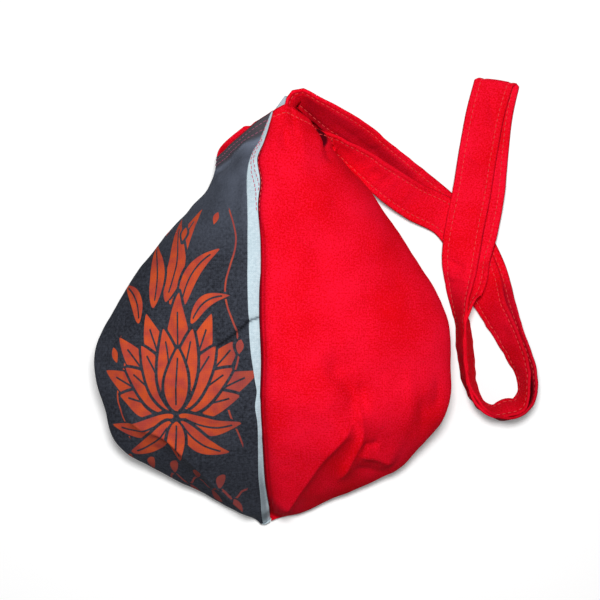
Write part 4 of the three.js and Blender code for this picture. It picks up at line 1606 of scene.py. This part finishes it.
    def build(self) -> None:
        """Makes the ribbon and its rows of stitches."""
        ribbon = self.ribbon()
        middle, face = ribbon[0], ribbon[2][:, None]
        stations = lengths_along(middle)
        even = np.linspace(-1, 1, self.face_points)
        off = self.width / 2 * (0.55 * np.sin(even * math.pi / 2 * 0.999) + 0.45 * even)
        centre = self.creased(ribbon, stations, off)
        half = self.half_thickness(off)[None, :, None]
        top, bottom = centre + face * half, centre - face * half
        self.cloth(top, bottom, stations, off, self.painted_layer_shade(stations, off, centre))
        rows = []
        for sign in (-1, 1):
            column = int(np.abs(off - sign * (self.width / 2 - self.stitch_inset)).argmin())
            for surface, outward in ((top, face), (bottom, -face)):
                up = np.broadcast_to(outward, surface.shape)
                rows.append(thread_line(surface, up, slice(4, -4), column))
        stitches = Stitching(4.0, 2.8, 0.5).piece("strap_stitches", rows)
        dress(stitches, self.looks.red_thread, body="")
        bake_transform(stitches)

    def cloth(self, top: Array, bottom: Array, stations: Array, off: Array, shade_paint: Array) -> None:
        """Makes the ribbon's own piece: a closed skin over its two faces.

        Args:
            top: the upper face in millimetres, of shape (n, k, 3).
            bottom: the lower face, of the same shape.
            stations: distance along the ribbon at each ring, of shape (n,).
            off: distances from the ribbon's middle, of shape (k,).
            shade_paint: how much painted shade the cloth gets at each place, of shape (n, k).
        """
        around = lambda upper, lower: np.concatenate([upper, lower[:, -2:0:-1]], axis=1)
        skin = around(top, bottom)
        index = np.arange(skin.shape[0] * skin.shape[1]).reshape(skin.shape[:2])
        after = np.roll(index, -1, axis=1)
        quads = np.stack([index[:-1], after[:-1], after[1:], index[1:]], axis=-1).reshape(-1, 4).tolist()
        mesh = new_mesh("strap_ribbon", skin, quads + [index[0, ::-1].tolist(), index[-1].tolist()])
        s, t = np.meshgrid(stations, off, indexing="ij")
        write_map(mesh, around(np.stack([t, s], axis=-1), np.stack([t + self.UNDER_MAP, s], axis=-1)))
        # Painted shade where the strap's layers lie close
        write_field(mesh, "painted_shade", around(shade_paint, shade_paint))
        piece = new_object("strap_ribbon", mesh)
        dress(piece, self.looks.red, ("strap", "strap_end_near", "strap_end_far"), body="")
        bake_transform(piece)
        LOG.info("strap_ribbon: %.0f mm long", stations[-1])


# The studio


class Studio:
    """Floor, lights and camera of a plain product picture taken from straight above."""

    CAMERA = (26.6, 42.0, 1200.0)
    VIEW_WIDTH = 420.0  # what the picture shows at the table's height
    SENSOR = 36.0
    LAMPS_AIM = (20, 40, 40)
    LAMPS = (("key", (40, 220, 1150), 220, 11.9), ("fill", (-420, -120, 1100), 700, 0.6))
    SKY = 0.14         # the strength of the world's light
    TABLE_GLOW = 0.16  # how much the table is whitened for the camera

    def build(self) -> None:
        """Makes the floor, the world, the lamps and the camera."""
        self.camera()
        self.floor()
        self.world()
        for lamp in self.LAMPS:
            self.lamp(*lamp)
        bpy.context.scene.view_settings.view_transform = "Standard"

    def camera(self) -> None:
        """Makes the camera."""
        data = bpy.data.cameras.new("camera")
        data.sensor_width = self.SENSOR
        data.lens = self.SENSOR * self.CAMERA[2] / self.VIEW_WIDTH
        camera = new_object("camera", data)
        camera.location = Vector(self.CAMERA) * MM
        bpy.context.scene.camera = camera

    def lamp(self, name: str, place: tuple, size: float, power: float) -> None:
        """Makes a square soft lamp that looks at the bag.

        Args:
            name: the lamp's name.
            place: where it hangs, in millimetres.
            size: its side in millimetres.
            power: its power in watts.
        """
        data = bpy.data.lights.new(name, "AREA")
        data.size = size * MM
        data.energy = power
        lamp = new_object(name, data)
        lamp.location = Vector(place) * MM
        lamp.rotation_euler = (Vector(self.LAMPS_AIM) - Vector(place)).to_track_quat("-Z", "Y").to_euler()

    def seen(self, tree: Tree) -> Node:
        """Tells rays that show in the picture from those that light it.

        Args:
            tree: the node tree of a material or a world.

        Returns:
            A node that gives 1 for the camera's rays and those that a gloss or a clear surface
            sends on, and 0 for the rest.
        """
        path = add_node(tree, "LightPath").outputs
        direct = add_node(tree, "Math", (path["Is Camera Ray"], path["Is Glossy Ray"]), operation="MAXIMUM")
        return add_node(tree, "Math", (direct, path["Is Transmission Ray"]), operation="MAXIMUM")

    def floor(self) -> None:
        """Makes the pale table, near white to the camera, which keeps the bag's shadow."""
        bpy.ops.object.select_all(action="DESELECT")
        bpy.ops.mesh.primitive_plane_add(size=6)
        floor = bpy.context.object
        floor.name = "table"
        material = bpy.data.materials.new("white_table")
        tree = new_tree(material)
        matt = add_node(tree, "BsdfDiffuse", {"Color": linear("F6F6F6")})
        glow = add_node(tree, "Emission", {"Color": linear("FFFFFF"), "Strength": self.TABLE_GLOW})
        bright = add_node(tree, "AddShader", (matt, glow))
        quiet = add_node(tree, "BsdfDiffuse", {"Color": linear("545454")})
        mix = add_node(tree, "MixShader", (self.seen(tree), quiet, bright))
        add_node(tree, "OutputMaterial", {"Surface": mix})
        floor.data.materials.append(material)

    def world(self) -> None:
        """Makes the even grey sky of a studio, white where the camera or a gloss sees it."""
        world = bpy.data.worlds.new("studio")
        bpy.context.scene.world = world
        tree = new_tree(world)
        sky = add_node(tree, "Background", {"Color": linear("FFFFFF"), "Strength": self.SKY})
        white = add_node(tree, "Background", {"Color": linear("FFFFFF"), "Strength": 1.0})
        mix = add_node(tree, "MixShader", (self.seen(tree), sky, white))
        add_node(tree, "OutputWorld", {"Surface": mix})


def main() -> None:
    """Builds the bag, its floor, its lights and its camera."""
    logging.basicConfig(level=logging.INFO)
    looks = Finishes(
        red=WovenCotton(
            "red_brushed_cotton", "FF1034", "E4000C", "4E000E", nap=1.2, evenness=0.09, sheen=0.04,
        ).build(),
        charcoal=PrintedCotton(
            "charcoal_printed_cotton", "454954", "24262D", "0E0F14", relief=0.12, contrast=1.0,
        ).build(),
        white=WovenCotton("white_unprinted_cotton", "CBDCE4", "B4C7D1", "56606A", contrast=0.35).build(),
        mouth_thread=SewingThread("purple_sewing_thread", "8C4A66").build(),
        slit_thread=SewingThread("pink_sewing_thread", "C4566F").build(),
        red_thread=SewingThread("orange_red_sewing_thread", "DC3A3C").build(),
    )
    Pouch(PouchForm(), looks).build()
    Strap(looks).build()
    Studio().build()


if __name__ == "__main__":
    main()
